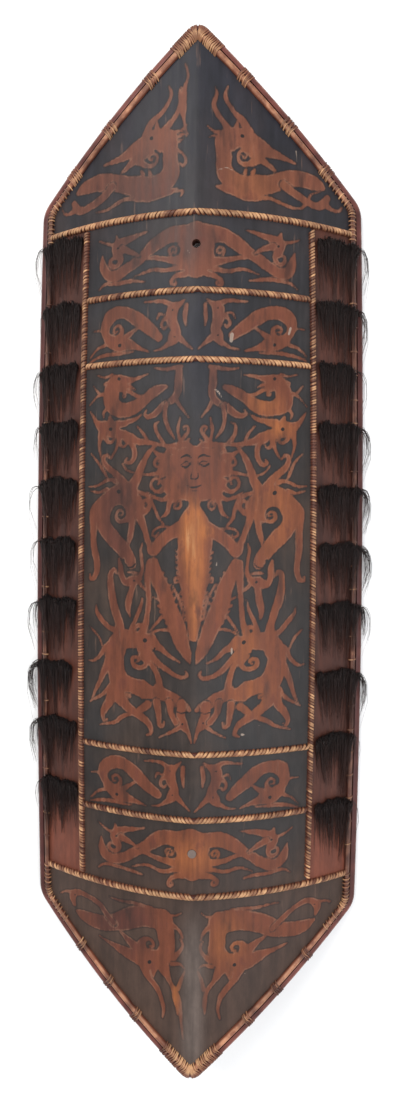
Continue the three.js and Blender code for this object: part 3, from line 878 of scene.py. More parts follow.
def paint_lower_point(p):
    """A dragon below the last row, its head and horns towards the lower tip."""
    p.add((36, -430, 13), (60, -430, 13), (82, -438, 12), (104, -450, 9), (124, -453, 9.5),
          (140, -452, 7), (151, -449, 2))
    p.add((34, -432, 13), (31, -450, 10.5), (33, -470, 12), (46, -482, 14), (62, -484, 11),
          (80, -481, 7), (98, -475, 3), (118, -470, 0.9))
    p.cut((60, -448, 2.6), (51, -450, 3), (44, -459, 3), (45, -468, 2.2), (50, -471, 1))
    p.cut((60, -449, 3), (70, -453, 5), (84, -458, 4), (98, -465, 2.4), (110, -467, 1))
    p.add((64, -474, 8), (62, -462, 4), (54, -458, 2.4), (48.5, -461.5, 2), (49, -467, 1.6),
          (53, -467, 1))
    p.add((68, -472, 7), (80, -463, 4), (91, -456.5, 1.6))
    p.add((58, -492, 7), (52, -506, 4), (42, -517, 3.5), (36, -527, 2.8), (33, -540, 2.2),
          (36, -553, 0.8))
    p.add((36, -488, 8), (29, -503, 3.2), (21, -516, 2.6), (17, -530, 2.8), (16, -545, 0.9))
    p.add((7, -487, 0.8), (12, -500, 2.2), (16, -514, 2.6))
    p.add((46, -494, 5), (47, -505, 1))
    p.add((23, -436, 3.4), (14, -443, 1.9), (10.5, -451, 1.2))
    p.add((22, -476, 4), (14, -468, 2.2), (10, -460, 1.7), (13, -453, 1))
    p.add((24, -484, 2.6), (15, -482, 1.7), (8, -487, 0.9))
    p.add((48, -416, 1), (66, -415.5, 1.8), (84, -417.5, 1.6), (106, -416.5, 0.7))
    p.add((12, -419, 0.7), (20, -424, 1.4), (34, -424, 2))
    p.over((100, -448, 4), (110, -439, 3.6), (120, -430, 3.2), (133, -424, 3), (147, -422, 4),
           (156, -429, 5), (154, -441, 2.4))
    p.add((158, -425, 2.4), (168, -427, 1.4), (176, -432, 0.7))
    p.line((52, -487, 2.4))
    p.line((153, -428, 1.3))


def paint_left_only(p):
    """Chips and strokes that only the left half has."""
    p.chip((41, 284, 0.9))
    p.chip((8, 366, 0.7), (11, 371, 0.5))
    p.chip((96, 208, 0.5))
    p.chip((22, 150, 0.5), (22, 144, 0.4))
    p.add((13, 582, 0.7), (11, 568, 1.4), (15, 556, 2.2), (17, 545, 4), (17, 533, 4.6), (16, 521, 2),
          (12, 501, 0.8))
    p.add((22, 487, 1.6), (15, 481, 1.4), (12.5, 473, 1.4), (16, 467, 1.2), (19.5, 471, 0.9))
    p.add((34, 497, 2), (24, 494, 1.6), (15, 499, 0.8))
    p.add((24, 500, 2), (15, 504, 1.3), (10, 504, 0.7))
    p.add((38, 438, 1.6), (26, 440.5, 1.5), (16, 439, 1.3), (19, 434.5, 0.9))
    p.add((20, -514, 2.6), (17, -524, 4.5), (13, -538, 2.4), (11, -555, 1.8), (9, -576, 0.8))


def paint_right_only(p):
    """Chips and strokes that only the right half has."""
    p.chip((42, 267, 2), (43, 274, 2.4))
    p.chip((110, 281, 1.4), (111, 288, 1.5))
    p.chip((59, -202, 1.6), (61, -202.5, 1.2))
    p.chip((79, -191, 1))
    p.chip((27, 3, 0.9), (28, 7, 0.5))
    p.chip((24, 211, 0.7), (28, 209, 1.1), (33, 201, 0.5))
    p.chip((45, -96, 1.2), (46, -102, 1.3))
    p.chip((22, 461, 0.5), (34, 465, 0.8), (44, 462, 0.4))
    p.chip((22, 492.5, 0.7), (35, 492, 0.4))
    p.chip((115, 499, 0.8), (117, 486, 0.5))
    p.chip((64, -499, 1))
    p.chip((40, -414, 0.5))
    p.add((124, 430, 1.3), (131, 437, 1.2), (136, 450, 1.1), (146, 455, 0.7))
    p.add((22, 503, 1), (14, 500, 0.7))


def paint_plates():
    """The painted halves of the face, right and left."""
    shared = Plate()
    once = (
        paint_upper_point, paint_crescent, paint_ridge_figure, paint_looking_head,
        paint_side_dragon, paint_lower_dragon, paint_lower_point,
    )
    for paint in once:
        paint(shared)
    for paint, drop in ((paint_face_panel, FACE_PANEL_DROP), (paint_loop_panel, LOOP_PANEL_DROP)):
        for down in (0, drop):
            shared.down = down
            paint(shared)
    shared.down = 0
    paint_calm_face(shared)
    left = shared.copy()
    paint_right_only(shared)
    paint_left_only(left)
    return shared, left


# Where the painting is brighter or duller: x with its sign, y, reach across, reach along and
# amount, in millimetres but for the amount
GLOW = [
    (-5, 38, 12, 40, 1.2), (7, 58, 9, 18, 0.4), (18, 44, 9, 9, 0.6), (0, -40, 8, 60, 0.75),
    (12, 0, 8, 30, 0.3), (98, 62, 34, 80, 0.4), (80, 196, 26, 16, 0.55), (100, 168, 22, 14, 0.5),
    (62, -100, 26, 40, 0.4), (74, -160, 40, 30, 0.3), (-96, 62, 34, 90, -0.9), (-90, 200, 40, 40, -0.2),
    (-60, 440, 90, 60, -0.95), (55, 450, 60, 50, 0.55), (0, -350, 44, 30, 0.55),
    (40, -455, 34, 40, 0.45), (-34, -455, 16, 40, 0.3), (-90, -440, 60, 50, -1.0),
    (120, -430, 40, 30, -0.3), (28, 210, 18, 45, -1.0), (-28, 210, 26, 50, -0.9),
    (25, 120, 30, 22, -0.35), (-25, 120, 30, 22, -0.3), (-80, 370, 40, 40, -0.6),
    (95, 375, 40, 30, -0.55), (0, 380, 34, 26, -0.65), (26, 290, 16, 30, -0.6),
    (26, -260, 16, 30, -0.5), (-80, -262, 60, 30, -0.3), (80, -262, 60, 30, -0.3),
    (-100, 300, 60, 30, -0.35), (90, 290, 40, 30, -0.1), (-18, -520, 8, 26, 0.8),
    (-110, -110, 40, 80, -0.25), (110, -350, 50, 30, -0.3), (-110, -350, 50, 30, -0.3),
    (-62, -8, 20, 30, -0.3),
]
# How warm the ground is at the lower tip, at the rows and the middle, and at the upper tip; below zero it
# stands for a painted bluish-grey sheen instead
TONE_Y = [-TIP, ROW_Y[5], ROW_Y[4], ROW_Y[3], 0, ROW_Y[2], ROW_Y[0], TIP]
TONES = [0.9, 0.6, 0.15, 0.1, 0, -0.22, -0.5, -0.85]
# The painted bluish sheen along the ridge of the upper half: its middle, and how far it fades along and
# across
BLUE_Y = 250 * MM
BLUE_ALONG = 160 * MM
BLUE_ACROSS = 55 * MM
# The painted highlight along the ridge below the last row: how fast it comes in, its middle and reach
SHEEN_ALONG = 70 * MM
SHEEN_X = 2 * MM
SHEEN_ACROSS = 15 * MM
# The brush strays less this near the ridge, where both halves meet, in millimetres
STEADY_WITHIN = 20
# How far below the face a vertex may lie and still be painted
PAINT_DEPTH = 0.6 * MM


def wander(x, y):
    """How far the brush strayed, so that the halves differ as hand work does."""
    dx = 0.9 * np.sin(0.043 * x + 0.061 * y + 0.7) + 0.6 * np.sin(0.131 * y - 0.097 * x + 2.1)
    dy = 0.9 * np.sin(0.057 * x - 0.038 * y + 1.3) + 0.6 * np.sin(0.149 * x + 0.083 * y + 0.4)
    return dx, dy


def sample(plate, layer, x, y):
    values = plate.layers[layer]
    column = np.clip((x - plate.x[0]) / PLATE_STEP, 0, len(plate.x) - 1.001)
    row = np.clip((y - plate.y[0]) / PLATE_STEP, 0, len(plate.y) - 1.001)
    i, j = row.astype(int), column.astype(int)
    a, b = row - i, column - j
    upper = values[i, j] * (1 - b) + values[i, j + 1] * b
    lower = values[i + 1, j] * (1 - b) + values[i + 1, j + 1] * b
    return upper * (1 - a) + lower * a


def paint_board(piece):
    """Gives every vertex of the board what painted_wood mixes its colours from."""
    where = np.empty(len(piece.data.vertices) * 3)
    piece.data.vertices.foreach_get("co", where)
    x, y, z = where.reshape(-1, 3).T
    on_top = z > face_height(x, y) - PAINT_DEPTH
    inside = np.where((y > ROW_Y[0]) | (y < ROW_Y[5]), outer_half_width(y), side_lacing_x(y))
    field = on_top & (np.abs(x) < inside)
    add_value(piece, "field", field.astype(float))
    right, left = paint_plates()
    dx, dy = wander(x / MM, y / MM)
    px = np.abs(x) / MM + dx * np.clip(np.abs(x) / MM / STEADY_WITHIN, 0, 1)
    py = y / MM + dy
    for layer in LAYERS:
        picked = np.where(x > 0, sample(right, layer, px, py), sample(left, layer, px, py))
        add_value(piece, layer, np.where(field, picked, PLATE_FAR))
    glow = sum(
        amount * np.exp(-((x / MM - gx) / across) ** 2 - ((y / MM - gy) / along) ** 2)
        for gx, gy, across, along, amount in GLOW
    )
    add_value(piece, "glow", glow)
    # A painted bluish sheen along the ridge of the upper half, which makes the ground bluer there
    blue_sheen = np.clip(1 - np.abs(y - BLUE_Y) / BLUE_ALONG, 0, 1) * np.exp(-(x / BLUE_ACROSS) ** 2)
    add_value(piece, "tone_and_sheen", np.interp(y, TONE_Y, TONES) - 0.5 * blue_sheen)
    # sheen: a painted highlight along the ridge of the lower point, where light catches the rounded top
    low = np.clip((ROW_Y[5] - y) / SHEEN_ALONG, 0, 1)
    add_value(piece, "sheen", low * np.exp(-((x - SHEEN_X) / SHEEN_ACROSS) ** 2))


def ground_color(n, tone_and_sheen, patches):
    """The dark ground, brown towards the lower tip and bluer towards the upper one, the blue being painted
    sheen.
    """
    broad = n.noise(5, (1, 0.8, 1), 2.0)
    color = n.mix(n.span(patches, 0.36, 0.66), rgb(38, 33, 32), rgb(60, 47, 40))
    color = n.mix(n.span(broad, 0.4, 0.62, 0, 0.7), color, rgb(43, 42, 43))
    color = n.mix(n.span(tone_and_sheen, 0, -1, 0, 0.8), color, rgb(34, 36, 47))
    return n.mix(n.span(tone_and_sheen, 0, 1, 0, 0.7), color, rgb(80, 58, 47))


def paint_color(n, tone_and_sheen, grain, mottle):
    """The figures' paint, from dull brown to pale gold where glow is high."""
    glow = n.value("glow")
    glow = n.math("ADD", glow, n.sway(grain, n.span(glow, 0.3, 1, 0.4, 2.2)))
    color = n.ramp(
        glow, (-2, rgb(58, 44, 41)), (-1, rgb(76, 43, 35)), (0, rgb(106, 57, 38)),
        (1, rgb(150, 88, 47)), (1.9, rgb(204, 160, 110)),
    )
    # Towards the upper tip a painted sheen greys the paint
    color = n.mix(n.span(tone_and_sheen, 0, -1, 0, 0.32), color, rgb(110, 78, 68))
    return n.mix(n.span(mottle, 0.52, 0.68, 0, 0.6), color, rgb(82, 42, 33))


def painted_color(n, ground, paint, mottle):
    """Frayed figures, pale along their edges and dark outside them, the dark lines on them, and a painted
    highlight along the lower ridge.
    """
    brush = n.noise(210, (1, 0.5, 1), 3.0)
    edge = n.math("ADD", n.value("figures"), n.sway(brush, 2.6))
    pale = n.math("MULTIPLY", n.span(edge, -2.2, -0.5), n.span(mottle, 0.44, 0.62, 0, 0.28))
    paint = n.mix(pale, paint, rgb(156, 116, 92))
    ground = n.mix(n.span(edge, 2.4, 0.3, 0, 0.7), ground, rgb(24, 19, 19))
    faded = n.span(n.noise(46, (1.2, 0.35, 1.2), 4.0), 0.54, 0.72, 1, 0.5)
    color = n.mix(n.math("MULTIPLY", n.span(edge, 1.0, -0.9), faded), ground, paint)
    color = n.mix(n.span(n.value("lines"), 0.6, -0.3), color, rgb(30, 22, 21))
    # Where sheen is high, a painted highlight greys the colour
    return n.mix(n.span(n.value("sheen"), 0, 1, 0, 0.8), color, rgb(96, 84, 78))


def plain_color(n, tone_and_sheen, grain, patches):
    """Bare wood, redder and lighter towards the lower tip."""
    color = n.mix(grain, rgb(54, 29, 24), rgb(92, 51, 38))
    color = n.mix(n.span(patches, 0.4, 0.7, 0, 0.6), color, rgb(54, 32, 28))
    return n.mix(n.span(tone_and_sheen, 0.08, 0.4, 0, 0.85), color, rgb(114, 62, 46))


def painted_wood():
    """Painting inside field and plain wood outside it, scuffed, chipped and worn alike."""
    material, n = new_material("painted_wood")
    # Warmer colour towards the lower tip, painted bluish-grey sheen towards the upper one
    tone_and_sheen = n.value("tone_and_sheen")
    grain = n.noise(90, (1.5, 0.1, 1.5), 5.0)
    patches = n.noise(16, (1, 0.6, 1), 4.0)
    mottle = n.noise(75, (1, 0.45, 1), 5.0, 0.65)
    ground = ground_color(n, tone_and_sheen, patches)
    paint = paint_color(n, tone_and_sheen, grain, mottle)
    painted = painted_color(n, ground, paint, mottle)
    plain = plain_color(n, tone_and_sheen, grain, patches)
    color = n.mix(n.span(n.value("field"), 0.3, 0.7), plain, painted)
    scuffs = n.span(n.noise(150, (1.2, 0.13, 1.2), 3.0), 0.64, 0.8, 0, 0.3)
    color = n.mix(scuffs, color, rgb(140, 106, 88))
    color = n.mix(n.span(n.value("chips"), 0.4, -0.4, 0, 0.75), color, rgb(160, 142, 128))
    color = n.tint(color, n.span(grain, 0.25, 0.8, 0.8, 1.2))
    color = n.tint(color, n.span(mottle, 0.3, 0.7, 0.84, 1.16))
    n.surface(color, n.span(grain, 0.2, 0.8, 0.42, 0.6))
    n.bump(grain, 0.25 * MM)
    return material


# Rattan round the rim

CANE_STEPS = 10
OUTER_DEPTH = EDGE_THICKNESS - 0.6 * MM
INNER_MIDDLE = -RIM - CANE_SPACING - INNER_CANE_WIDTH / 2
# How light the canes are from the lower tip to the upper one
RIM_Y = [-TIP, LOWER_SHOULDER, -400 * MM, 390 * MM, UPPER_SHOULDER, TIP]
RIM_LIGHTNESS = [0.75, 0.45, 0.12, 0.12, 0.4, 1.0]
# How fast their lighter and darker stretches follow each other, in radians per metre
CANE_WAVES = 67, 131, 223, 311


def beside(points, normals, out):
    """x and y of the places that lie out from a plan path."""
    return [points[:, None, k] + normals[:, None, k] * out for k in (0, 1)]


def draped(points, normals, section, height_at):
    """Rings of a bar along a plan path, its section's points being [out, up] from the surface."""
    out, up = np.array(section).T
    x, y = beside(points, normals, out)
    return np.stack([x, y, height_at(points, normals, out) + up], -1)


def height_under(points, normals, out):
    return face_height(*beside(points, normals, out))


def height_of_edge(points, normals, out):
    return height_under(points, normals, np.full_like(out, -RIM))


def half_round(middle, width, foot, height):
    angles = np.linspace(0, math.pi, CANE_STEPS + 1)
    return [(middle + width / 2 * math.cos(a), foot + height * math.sin(a)) for a in angles]


def make_rim_canes(outer_material, inner_material):
    points, normals, at = outline(4 * MM)
    middle = (OUTER_CANE_PROUD - OUTER_DEPTH) / 2
    standing = half_round(0, OUTER_DEPTH + OUTER_CANE_PROUD, 0, OUTER_CANE_WIDTH)
    outer = [(up - OUTER_CANE_WIDTH, along + middle) for along, up in standing]
    inner = half_round(INNER_MIDDLE, INNER_CANE_WIDTH, GAP, INNER_CANE_HEIGHT)
    for name, section, height_at, material, slot in (
        ("outer", outer, height_of_edge, outer_material, "rim_cane"),
        ("inner", inner, height_under, inner_material, "rattan"),
    ):
        rings = draped(points, normals, section, height_at)
        rings[:, :, 0] += GAP / 2
        verts, faces = tubes([rings, rings * [-1, 1, 1]])
        nodes = [f"rim_cane_{name}_{side}" for side in ("left", "right")]
        piece = build(f"rim_cane_{name}", verts, faces, material, nodes, smooth=60)
        rng = np.random.default_rng(SEED)
        wave = sum(np.sin(at * k + rng.uniform(0, 6.3)) for k in CANE_WAVES) / 6
        lightness = np.interp(points[:, 1], RIM_Y, RIM_LIGHTNESS)
        shade = np.clip(lightness + wave * (0.25 + lightness), 0, 1)
        add_value(piece, "shade", np.tile(np.repeat(shade, len(section)), 2))
        # Each cane is lighter along its top, partly rubbed and partly a painted highlight
        crown = np.sin(np.linspace(0, math.pi, len(section)))
        add_value(piece, "crown", np.tile(crown, 2 * len(at)))


# Lashings. Groups of turns bind both canes on the slanted edges, and single ones the inner cane.

# Places of the groups, in millimetres along the outline from the nearer tip
UPPER_LASHINGS = [78, 148, 212]
LOWER_LASHINGS = [46, 98, 146, 198]
UPPER_TURNS = 7
LOWER_TURNS = 4
TIP_TURNS = 17
TURN_PITCH = 2.3 * MM
SHOULDER_STITCHES = 16
SHOULDER_PITCH = 5.5 * MM
SIDE_LASHING_SPACING = 30 * MM
# How far the single lashings keep from a shoulder
SIDE_LASHING_START = 60 * MM
# How much the turns stray along the canes
TURN_STRAY = 0.5 * MM
TURN_WIDTHS = 1.5 * MM, 2.2 * MM
TURN_THICKNESS = 0.7 * MM

# Paths of one turn, as millimetres out from the outline and up from the face. A full turn goes on
# over the edge and back under the board.
TURN_OVER_INNER = [
    (-17.0, -0.8), (-16.9, 0.9), (-15.2, 4.0), (-11.9, 5.5), (-8.8, 4.2), (-7.6, 1.6), (-7.5, -0.8),
]
TURN_OVER_FACE = [(-17.0, -0.8), (-16.8, 0.8), (-14.6, 3.9), (-11.9, 5.5), (-9.2, 4.5)]
TURN_OVER_EDGE = [(-7.0, 3.2), (-3.6, 2.0), (-0.9, 0.2), (0.6, -3.3), (-0.9, -6.4), (-3.6, -7.6)]
TURN_UNDER = [(-7.2, -0.7), (-12.0, -0.7), (-16.6, -0.6), (-16.9, 1.2)]
# The ring over the inner cane's crest, once a turn's corners are rounded
CREST_RING = 7


def lashing_places():
    """Full turns and turns over the inner cane: rows of distance down the outline, lean and lightness."""
    _, _, at = outline(4 * MM)
    total = at[-1]
    upper = math.hypot(UPPER_HALF_WIDTH, TIP - UPPER_SHOULDER)
    lower = total - math.hypot(LOWER_HALF_WIDTH, TIP + LOWER_SHOULDER)
    full = []
    inner = []

    def group(rows, middle, turns, pitch, lean, lightness):
        for k in range(turns):
            along = middle + (k - (turns - 1) / 2) * pitch
            rows.append((along, lean * (1 + 0.7 * math.sin(5 * k)), lightness))

    tip_middle = (TIP_TURNS + 1) / 2 * TURN_PITCH
    group(full, tip_middle, TIP_TURNS, TURN_PITCH, 3.5 * MM, 0.85)
    group(full, total - tip_middle, TIP_TURNS, TURN_PITCH, -3 * MM, 0.85)
    for distance in UPPER_LASHINGS:
        group(full, distance * MM, UPPER_TURNS, TURN_PITCH, 4.5 * MM, 0.55)
    for distance in LOWER_LASHINGS:
        group(full, total - distance * MM, LOWER_TURNS, TURN_PITCH, -4 * MM, 0.3)
    for shoulder in (upper, lower):
        group(inner, shoulder, SHOULDER_STITCHES, SHOULDER_PITCH, 0, 0.55)
    sides = upper + SIDE_LASHING_START, lower - SIDE_LASHING_START
    for along in np.arange(*sides, SIDE_LASHING_SPACING):
        group(inner, along, 1, 0, 0.5 * MM, 0.25)
    return np.array(full), np.array(inner)


def rounded(path):
    """Paths with their corners cut once, so that bands bend smoothly."""
    a, b = path[:, :-1], path[:, 1:]
    cut = np.stack([0.75 * a + 0.25 * b, 0.25 * a + 0.75 * b], 2).reshape(len(path), -1, 3)
    return np.concatenate([path[:, :1], cut, path[:, -1:]], 1)


def turn_rings(rows, steps, edge_steps, under_steps, rng):
    """Bands of cane that turn over the canes at the places in rows, on the right half."""
    points, normals, at = outline(2 * MM)
    where = rows[:, 0] + rng.normal(0, TURN_STRAY, len(rows))
    base = rows_at(where, at, points)
    out = unit(rows_at(where, at, normals))
    tangent = np.stack([-out[:, 1], out[:, 0]], -1)
    path_steps = np.array(steps + edge_steps + under_steps) * MM
    share = np.linspace(-0.5, 0.5, len(path_steps))
    plan = base[:, None] + out[:, None] * path_steps[None, :, 0:1]
    plan = plan + tangent[:, None] * (rows[:, 1, None] * share)[..., None]
    height = face_height(plan[..., 0], plan[..., 1])
    first, last = len(steps), len(steps) + len(edge_steps)
    if edge_steps:
        edge = base - out * RIM
        height[:, first:last] = face_height(edge[:, 0], edge[:, 1])[:, None]
        inside = np.minimum(path_steps[last:, 0], -RIM - 0.5 * MM)
        under = base[:, None] + out[:, None] * inside[None, :, None]
        height[:, last:] = back_height(under[..., 0], under[..., 1])
    z = np.maximum(height + path_steps[:, 1], TURN_THICKNESS)
    path = rounded(np.concatenate([plan, z[..., None]], -1))
    ahead = unit(np.gradient(path, axis=1))
    across = np.concatenate([tangent, np.zeros((len(base), 1))], -1)[:, None]
    across = np.broadcast_to(across, path.shape)
    up = unit(np.cross(across, ahead))
    outward = np.concatenate([out, np.ones((len(base), 1))], -1)[:, None]
    up = up * np.sign((up[:, CREST_RING, None] * outward).sum(-1, keepdims=True))
    width = rng.uniform(*TURN_WIDTHS, (len(base), 1))
    return ribbons(path, across, up, width, TURN_THICKNESS)


def make_lashings(material):
    full, inner = lashing_places()
    rng = np.random.default_rng(SEED)
    for name, rows, steps in (
        ("rim_lashings", full, (TURN_OVER_FACE, TURN_OVER_EDGE, TURN_UNDER)),
        ("rim_stitches", inner, (TURN_OVER_INNER, [], [])),
    ):
        halves = [turn_rings(rows, *steps, rng) * [side, 1, 1] for side in (1, -1)]
        rings = np.concatenate(halves)
        verts, faces = tubes(rings)
        piece = build(name, verts, faces, material, smooth=50)
        shade = np.clip(np.tile(rows[:, 2], 2) + rng.uniform(-0.35, 0.35, len(rings)), 0, 1)
        add_value(piece, "shade", np.repeat(shade, rings.shape[1] * rings.shape[2]))
        # The crown, and with it the painted highlight, fades along each turn from the face over the edge
        # and under the board
        rise = np.clip(1.5 - 0.09 * np.arange(rings.shape[1]), 0, 1)
        add_value(piece, "crown", np.tile(np.outer(rise, BAND_CROWN).ravel(), len(rings)))


# Lacing, split cane wound over the bars and through the board

STITCH_PITCH = 4.5 * MM
SIDE_STITCH_PITCH = 3.5 * MM
STITCH_WIDTH = 3.4 * MM
SIDE_STITCH_WIDTH = 0.75 * STITCH_WIDTH
STITCH_THICKNESS = 1.0 * MM
STITCH_LEAN = 8.5 * MM
# How much the stitches stray along their bar
STITCH_STRAY = 0.35 * MM
# A stitch's way over the bar, which starts and ends in the board
STITCH_ANGLES = np.linspace(1.13 * math.pi, -0.13 * math.pi, 12)
# Half the width and the height of the bar that the cane is wound over
CORE_REACH = LACING_WIDTH / 2 - 1.4 * MM
CORE_HEIGHT = LACING_HEIGHT - 0.6 * MM
# How light each row's cane is at its left end, at the ridge and at its right end
ROW_LIGHTNESS = [
    (0.85, 0.9, 0.7), (0.45, 0.6, 0.45), (0.8, 1.0, 0.85),
    (0.5, 0.95, 0.65), (0.35, 0.8, 0.4), (0.5, 0.85, 0.45),
]


def stitch_rings(centre, along, across, lean, up, width):
    """Bands that each go over a bar, from a hole on one side to a hole on the other."""
    over = np.cos(STITCH_ANGLES)[None, :, None]
    rise = np.sin(STITCH_ANGLES)[None, :, None]
    share = -0.5 * np.sin(np.linspace(0.5, -0.5, len(STITCH_ANGLES)) * math.pi)[None, :, None]
    path = centre[:, None] + across[:, None] * (over * CORE_REACH) + up[:, None] * (rise * CORE_HEIGHT)
    path = path + along[:, None] * lean[:, None, None] * share
    radial = unit(across[:, None] * over + up[:, None] * rise)
    ahead = unit(np.gradient(path, axis=1))
    return ribbons(path, np.cross(ahead, radial), radial, width, STITCH_THICKNESS)


def core_rings(centre, across, up):
    angle = np.linspace(0, math.pi, 7)[None, :, None]
    sideways = across[:, None] * np.cos(angle) * (CORE_REACH - 0.2 * MM)
    return (centre[:, None] + sideways + up[:, None] * np.sin(angle) * (CORE_HEIGHT - 0.2 * MM))[None]


def back_stitch_rings(centre, along, across, lean, width):
    """The short slanted runs of the same cane on the hollow back."""
    share = np.linspace(-0.5, 0.5, 5)
    lift = STITCH_THICKNESS * (1 - (2 * share) ** 6)
    span = across[:, None] * (share * (LACING_WIDTH + MM))[None, :, None]
    path = centre[:, None] + span - along[:, None] * lean[:, None, None] * share[None, :, None]
    path[..., 2] = np.maximum(back_height(path[..., 0], path[..., 1]) + 0.3 * MM - lift, STITCH_THICKNESS)
    down = np.broadcast_to([0.0, 0.0, -1.0], path.shape)
    ahead = unit(np.gradient(path, axis=1))
    return ribbons(path, unit(np.cross(ahead, down)), down, width * 0.8, STITCH_THICKNESS)


def wind_bar(node, x, y, is_row, lean, lightness, rng, material):
    """A bar with its turns on the face, its core and its stitches on the back. x and y are the turns'."""
    centre = on_face(x, y)
    up = face_normal(x, y)
    to_tip = np.broadcast_to([0.0, 1.0, 0.0], up.shape)
    along = np.cross(to_tip, up) if is_row else to_tip
    across = to_tip if is_row else np.cross(up, to_tip)
    width = STITCH_WIDTH if is_row else SIDE_STITCH_WIDTH
    front = stitch_rings(centre, along, across, lean, up, width)
    back = back_stitch_rings(centre, along, across, lean, width)
    core = core_rings(centre, across, up)
    verts = np.zeros((0, 3))
    faces = []
    for rings in (front, back, core):
        more_verts, more_faces = tubes(rings)
        faces += [[i + len(verts) for i in face] for face in more_faces]
        verts = np.concatenate([verts, more_verts])
    name = node.replace("lacing", "lacing_turns")
    piece = build(name, verts, faces, material, [node], smooth=50)
    on_front, on_back, on_core = (math.prod(rings.shape[:3]) for rings in (front, back, core))
    shade = np.clip(lightness + rng.normal(0, 0.26, len(x)), 0, 1)
    shades = [np.repeat(shade, count // len(x)) for count in (on_front, on_back)]
    add_value(piece, "shade", np.concatenate([*shades, np.zeros(on_core)]))
    # Each turn is lighter on top of the bar, partly rubbed and partly a painted highlight; the stitches on
    # the back get a little of it
    rise = np.clip(np.sin(STITCH_ANGLES) * 1.2, 0, 1)
    crown = np.tile(np.outer(rise, BAND_CROWN).ravel(), len(x))
    add_value(piece, "crown", np.concatenate([crown, np.full(on_back, 0.3), np.zeros(on_core)]))


def make_lacing(material):
    rng = np.random.default_rng(SEED + 1)
    for k, row_y in enumerate(ROW_Y):
        name = f"lacing_row_{k + 1}"
        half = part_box(name)[1][0] - STITCH_WIDTH / 2
        fine = np.linspace(-half, half, 400)
        rise = np.gradient(face_height(fine, row_y), fine)
        length = np.concatenate([[0], np.cumsum(np.hypot(1, rise[1:]) * np.diff(fine))])
        x = np.interp(np.linspace(0, length[-1], round(length[-1] / STITCH_PITCH) + 1), length, fine)
        x = x + rng.normal(0, STITCH_STRAY, len(x))
        way = -1 if k < 3 else 1
        lean = way * np.sign(x) * STITCH_LEAN * rng.uniform(0.7, 1.2, len(x))
        lightness = np.interp(x / half, [-1, 0, 1], ROW_LIGHTNESS[k])
        wind_bar(name, x, np.full_like(x, row_y), True, lean, lightness, rng, material)
    low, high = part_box("lacing_side_right")
    stitches = round((high[1] - low[1]) / SIDE_STITCH_PITCH)
    for side, word in ((1, "right"), (-1, "left")):
        y = np.linspace(low[1] + STITCH_WIDTH, high[1] - STITCH_WIDTH, stitches)
        y = y + rng.normal(0, STITCH_STRAY, len(y))
        lean = side * np.clip(np.cos(y * 5 + 0.9 * side) * 1.6, -1, 1) * STITCH_LEAN * 0.6
        lightness = 0.36 + 0.2 * np.sin(y * 31 + side)
        x = side * side_lacing_x(y)
        wind_bar(f"lacing_side_{word}", x, y, False, lean, lightness, rng, material)


# Hair

STRANDS = 820
SHORT_STRANDS = 300
HAIR_LENGTH = 86 * MM
HAIR_HEIGHT = 14 * MM
STRAND_RADIUS = 0.34 * MM
# Lengths of the short strands, as shares of the longest
SHORT_LENGTHS = 0.1, 0.26
# Locks that the strands of a tuft gather into towards their ends, and how far they do
LOCKS = 11
GATHERING = 0.7
# How far the roots lie out of line, at random and in waves
ROOT_SCATTER = 5 * MM
ROOT_WAVE = 1.5 * MM
# How far a root is sunk in the wood, and how far hair stays over the wood and over the floor
ROOT_DEPTH = 1.2 * MM
HAIR_CLEARANCE = 0.6 * MM
LOWEST_HAIR = 1.5 * MM
# How far strands drift sideways, at random and in waves, and how near the edge they may come
DRIFT_SCATTER = 2.2 * MM
DRIFT_WAVE = 2 * MM
EDGE_CLEARANCE = 1.5 * MM
# How far a tuft's roots drop at its ends, and how much narrower it is at its points
TUFT_ROUNDING = 4.5 * MM
DRAW_IN = 0.2
# Rings of a strand, from its root at 0 to its point at 1
STRAND_STEPS = np.array([0, 0.06, 0.17, 0.37, 0.66, 1])[None]
# Strands of each tuft that stray out past the edge, from the first tuft to the last
STRAYS_RIGHT = [10, 16, 4, 18, 26, 34, 26, 26, 6, 2]
STRAYS_LEFT = [6, 2, 8, 5, 3, 4, 14, 36, 24, 4]
STRAY_SWING = 31 * MM
MOST_STRAY = 19 * MM
# How fast strays sink past the edge
STRAY_SINK = 0.55
# Strays that cling together in one wisp
WISP = 5
# How far each tuft's roots lie above the solid's, in millimetres, as the tufts are spaced
ROOTS_RIGHT = [-2, -1, 1, 4, 3, 8, 10, 1, -3, -12]
ROOTS_LEFT = [3, 0, 1, 6, 11, 12, 12, 6, 10, 6]
# How far each tuft stops short of the edge and of the lacing, in millimetres
EDGE_GAPS_RIGHT = [5, 9, 12, 6, 5, 5, 5, 6, 10, 10]
EDGE_GAPS_LEFT = [6, 7, 5, 5, 6, 8, 6, 5, 5, 8]
LACING_GAPS_RIGHT = [3, 1, 4, 3, 2, 4, 3, 2, 3, 4]
LACING_GAPS_LEFT = [2, 3, 4, 3, 3, 5, 3, 9, 3, 2]
# How far below the roots the hair has its lightest, brownest shade
FADED_BELOW = 75 * MM


def hair_floor(x, y):
    """Height that the hair lies on: the board, and the canes along its edge."""
    past = (x - (outer_half_width(y) - CANE_BED - MM)) / (2 * MM)
    step = np.clip(past, 0, 1)
    return face_height(x, y) + HAIR_CLEARANCE + step * (INNER_CANE_HEIGHT + GAP)


def wave(share, speed, rng):
    """An uneven rhythm from one end of a tuft's row of roots to the other."""
    return np.sin(share * speed + 6 * rng.random())


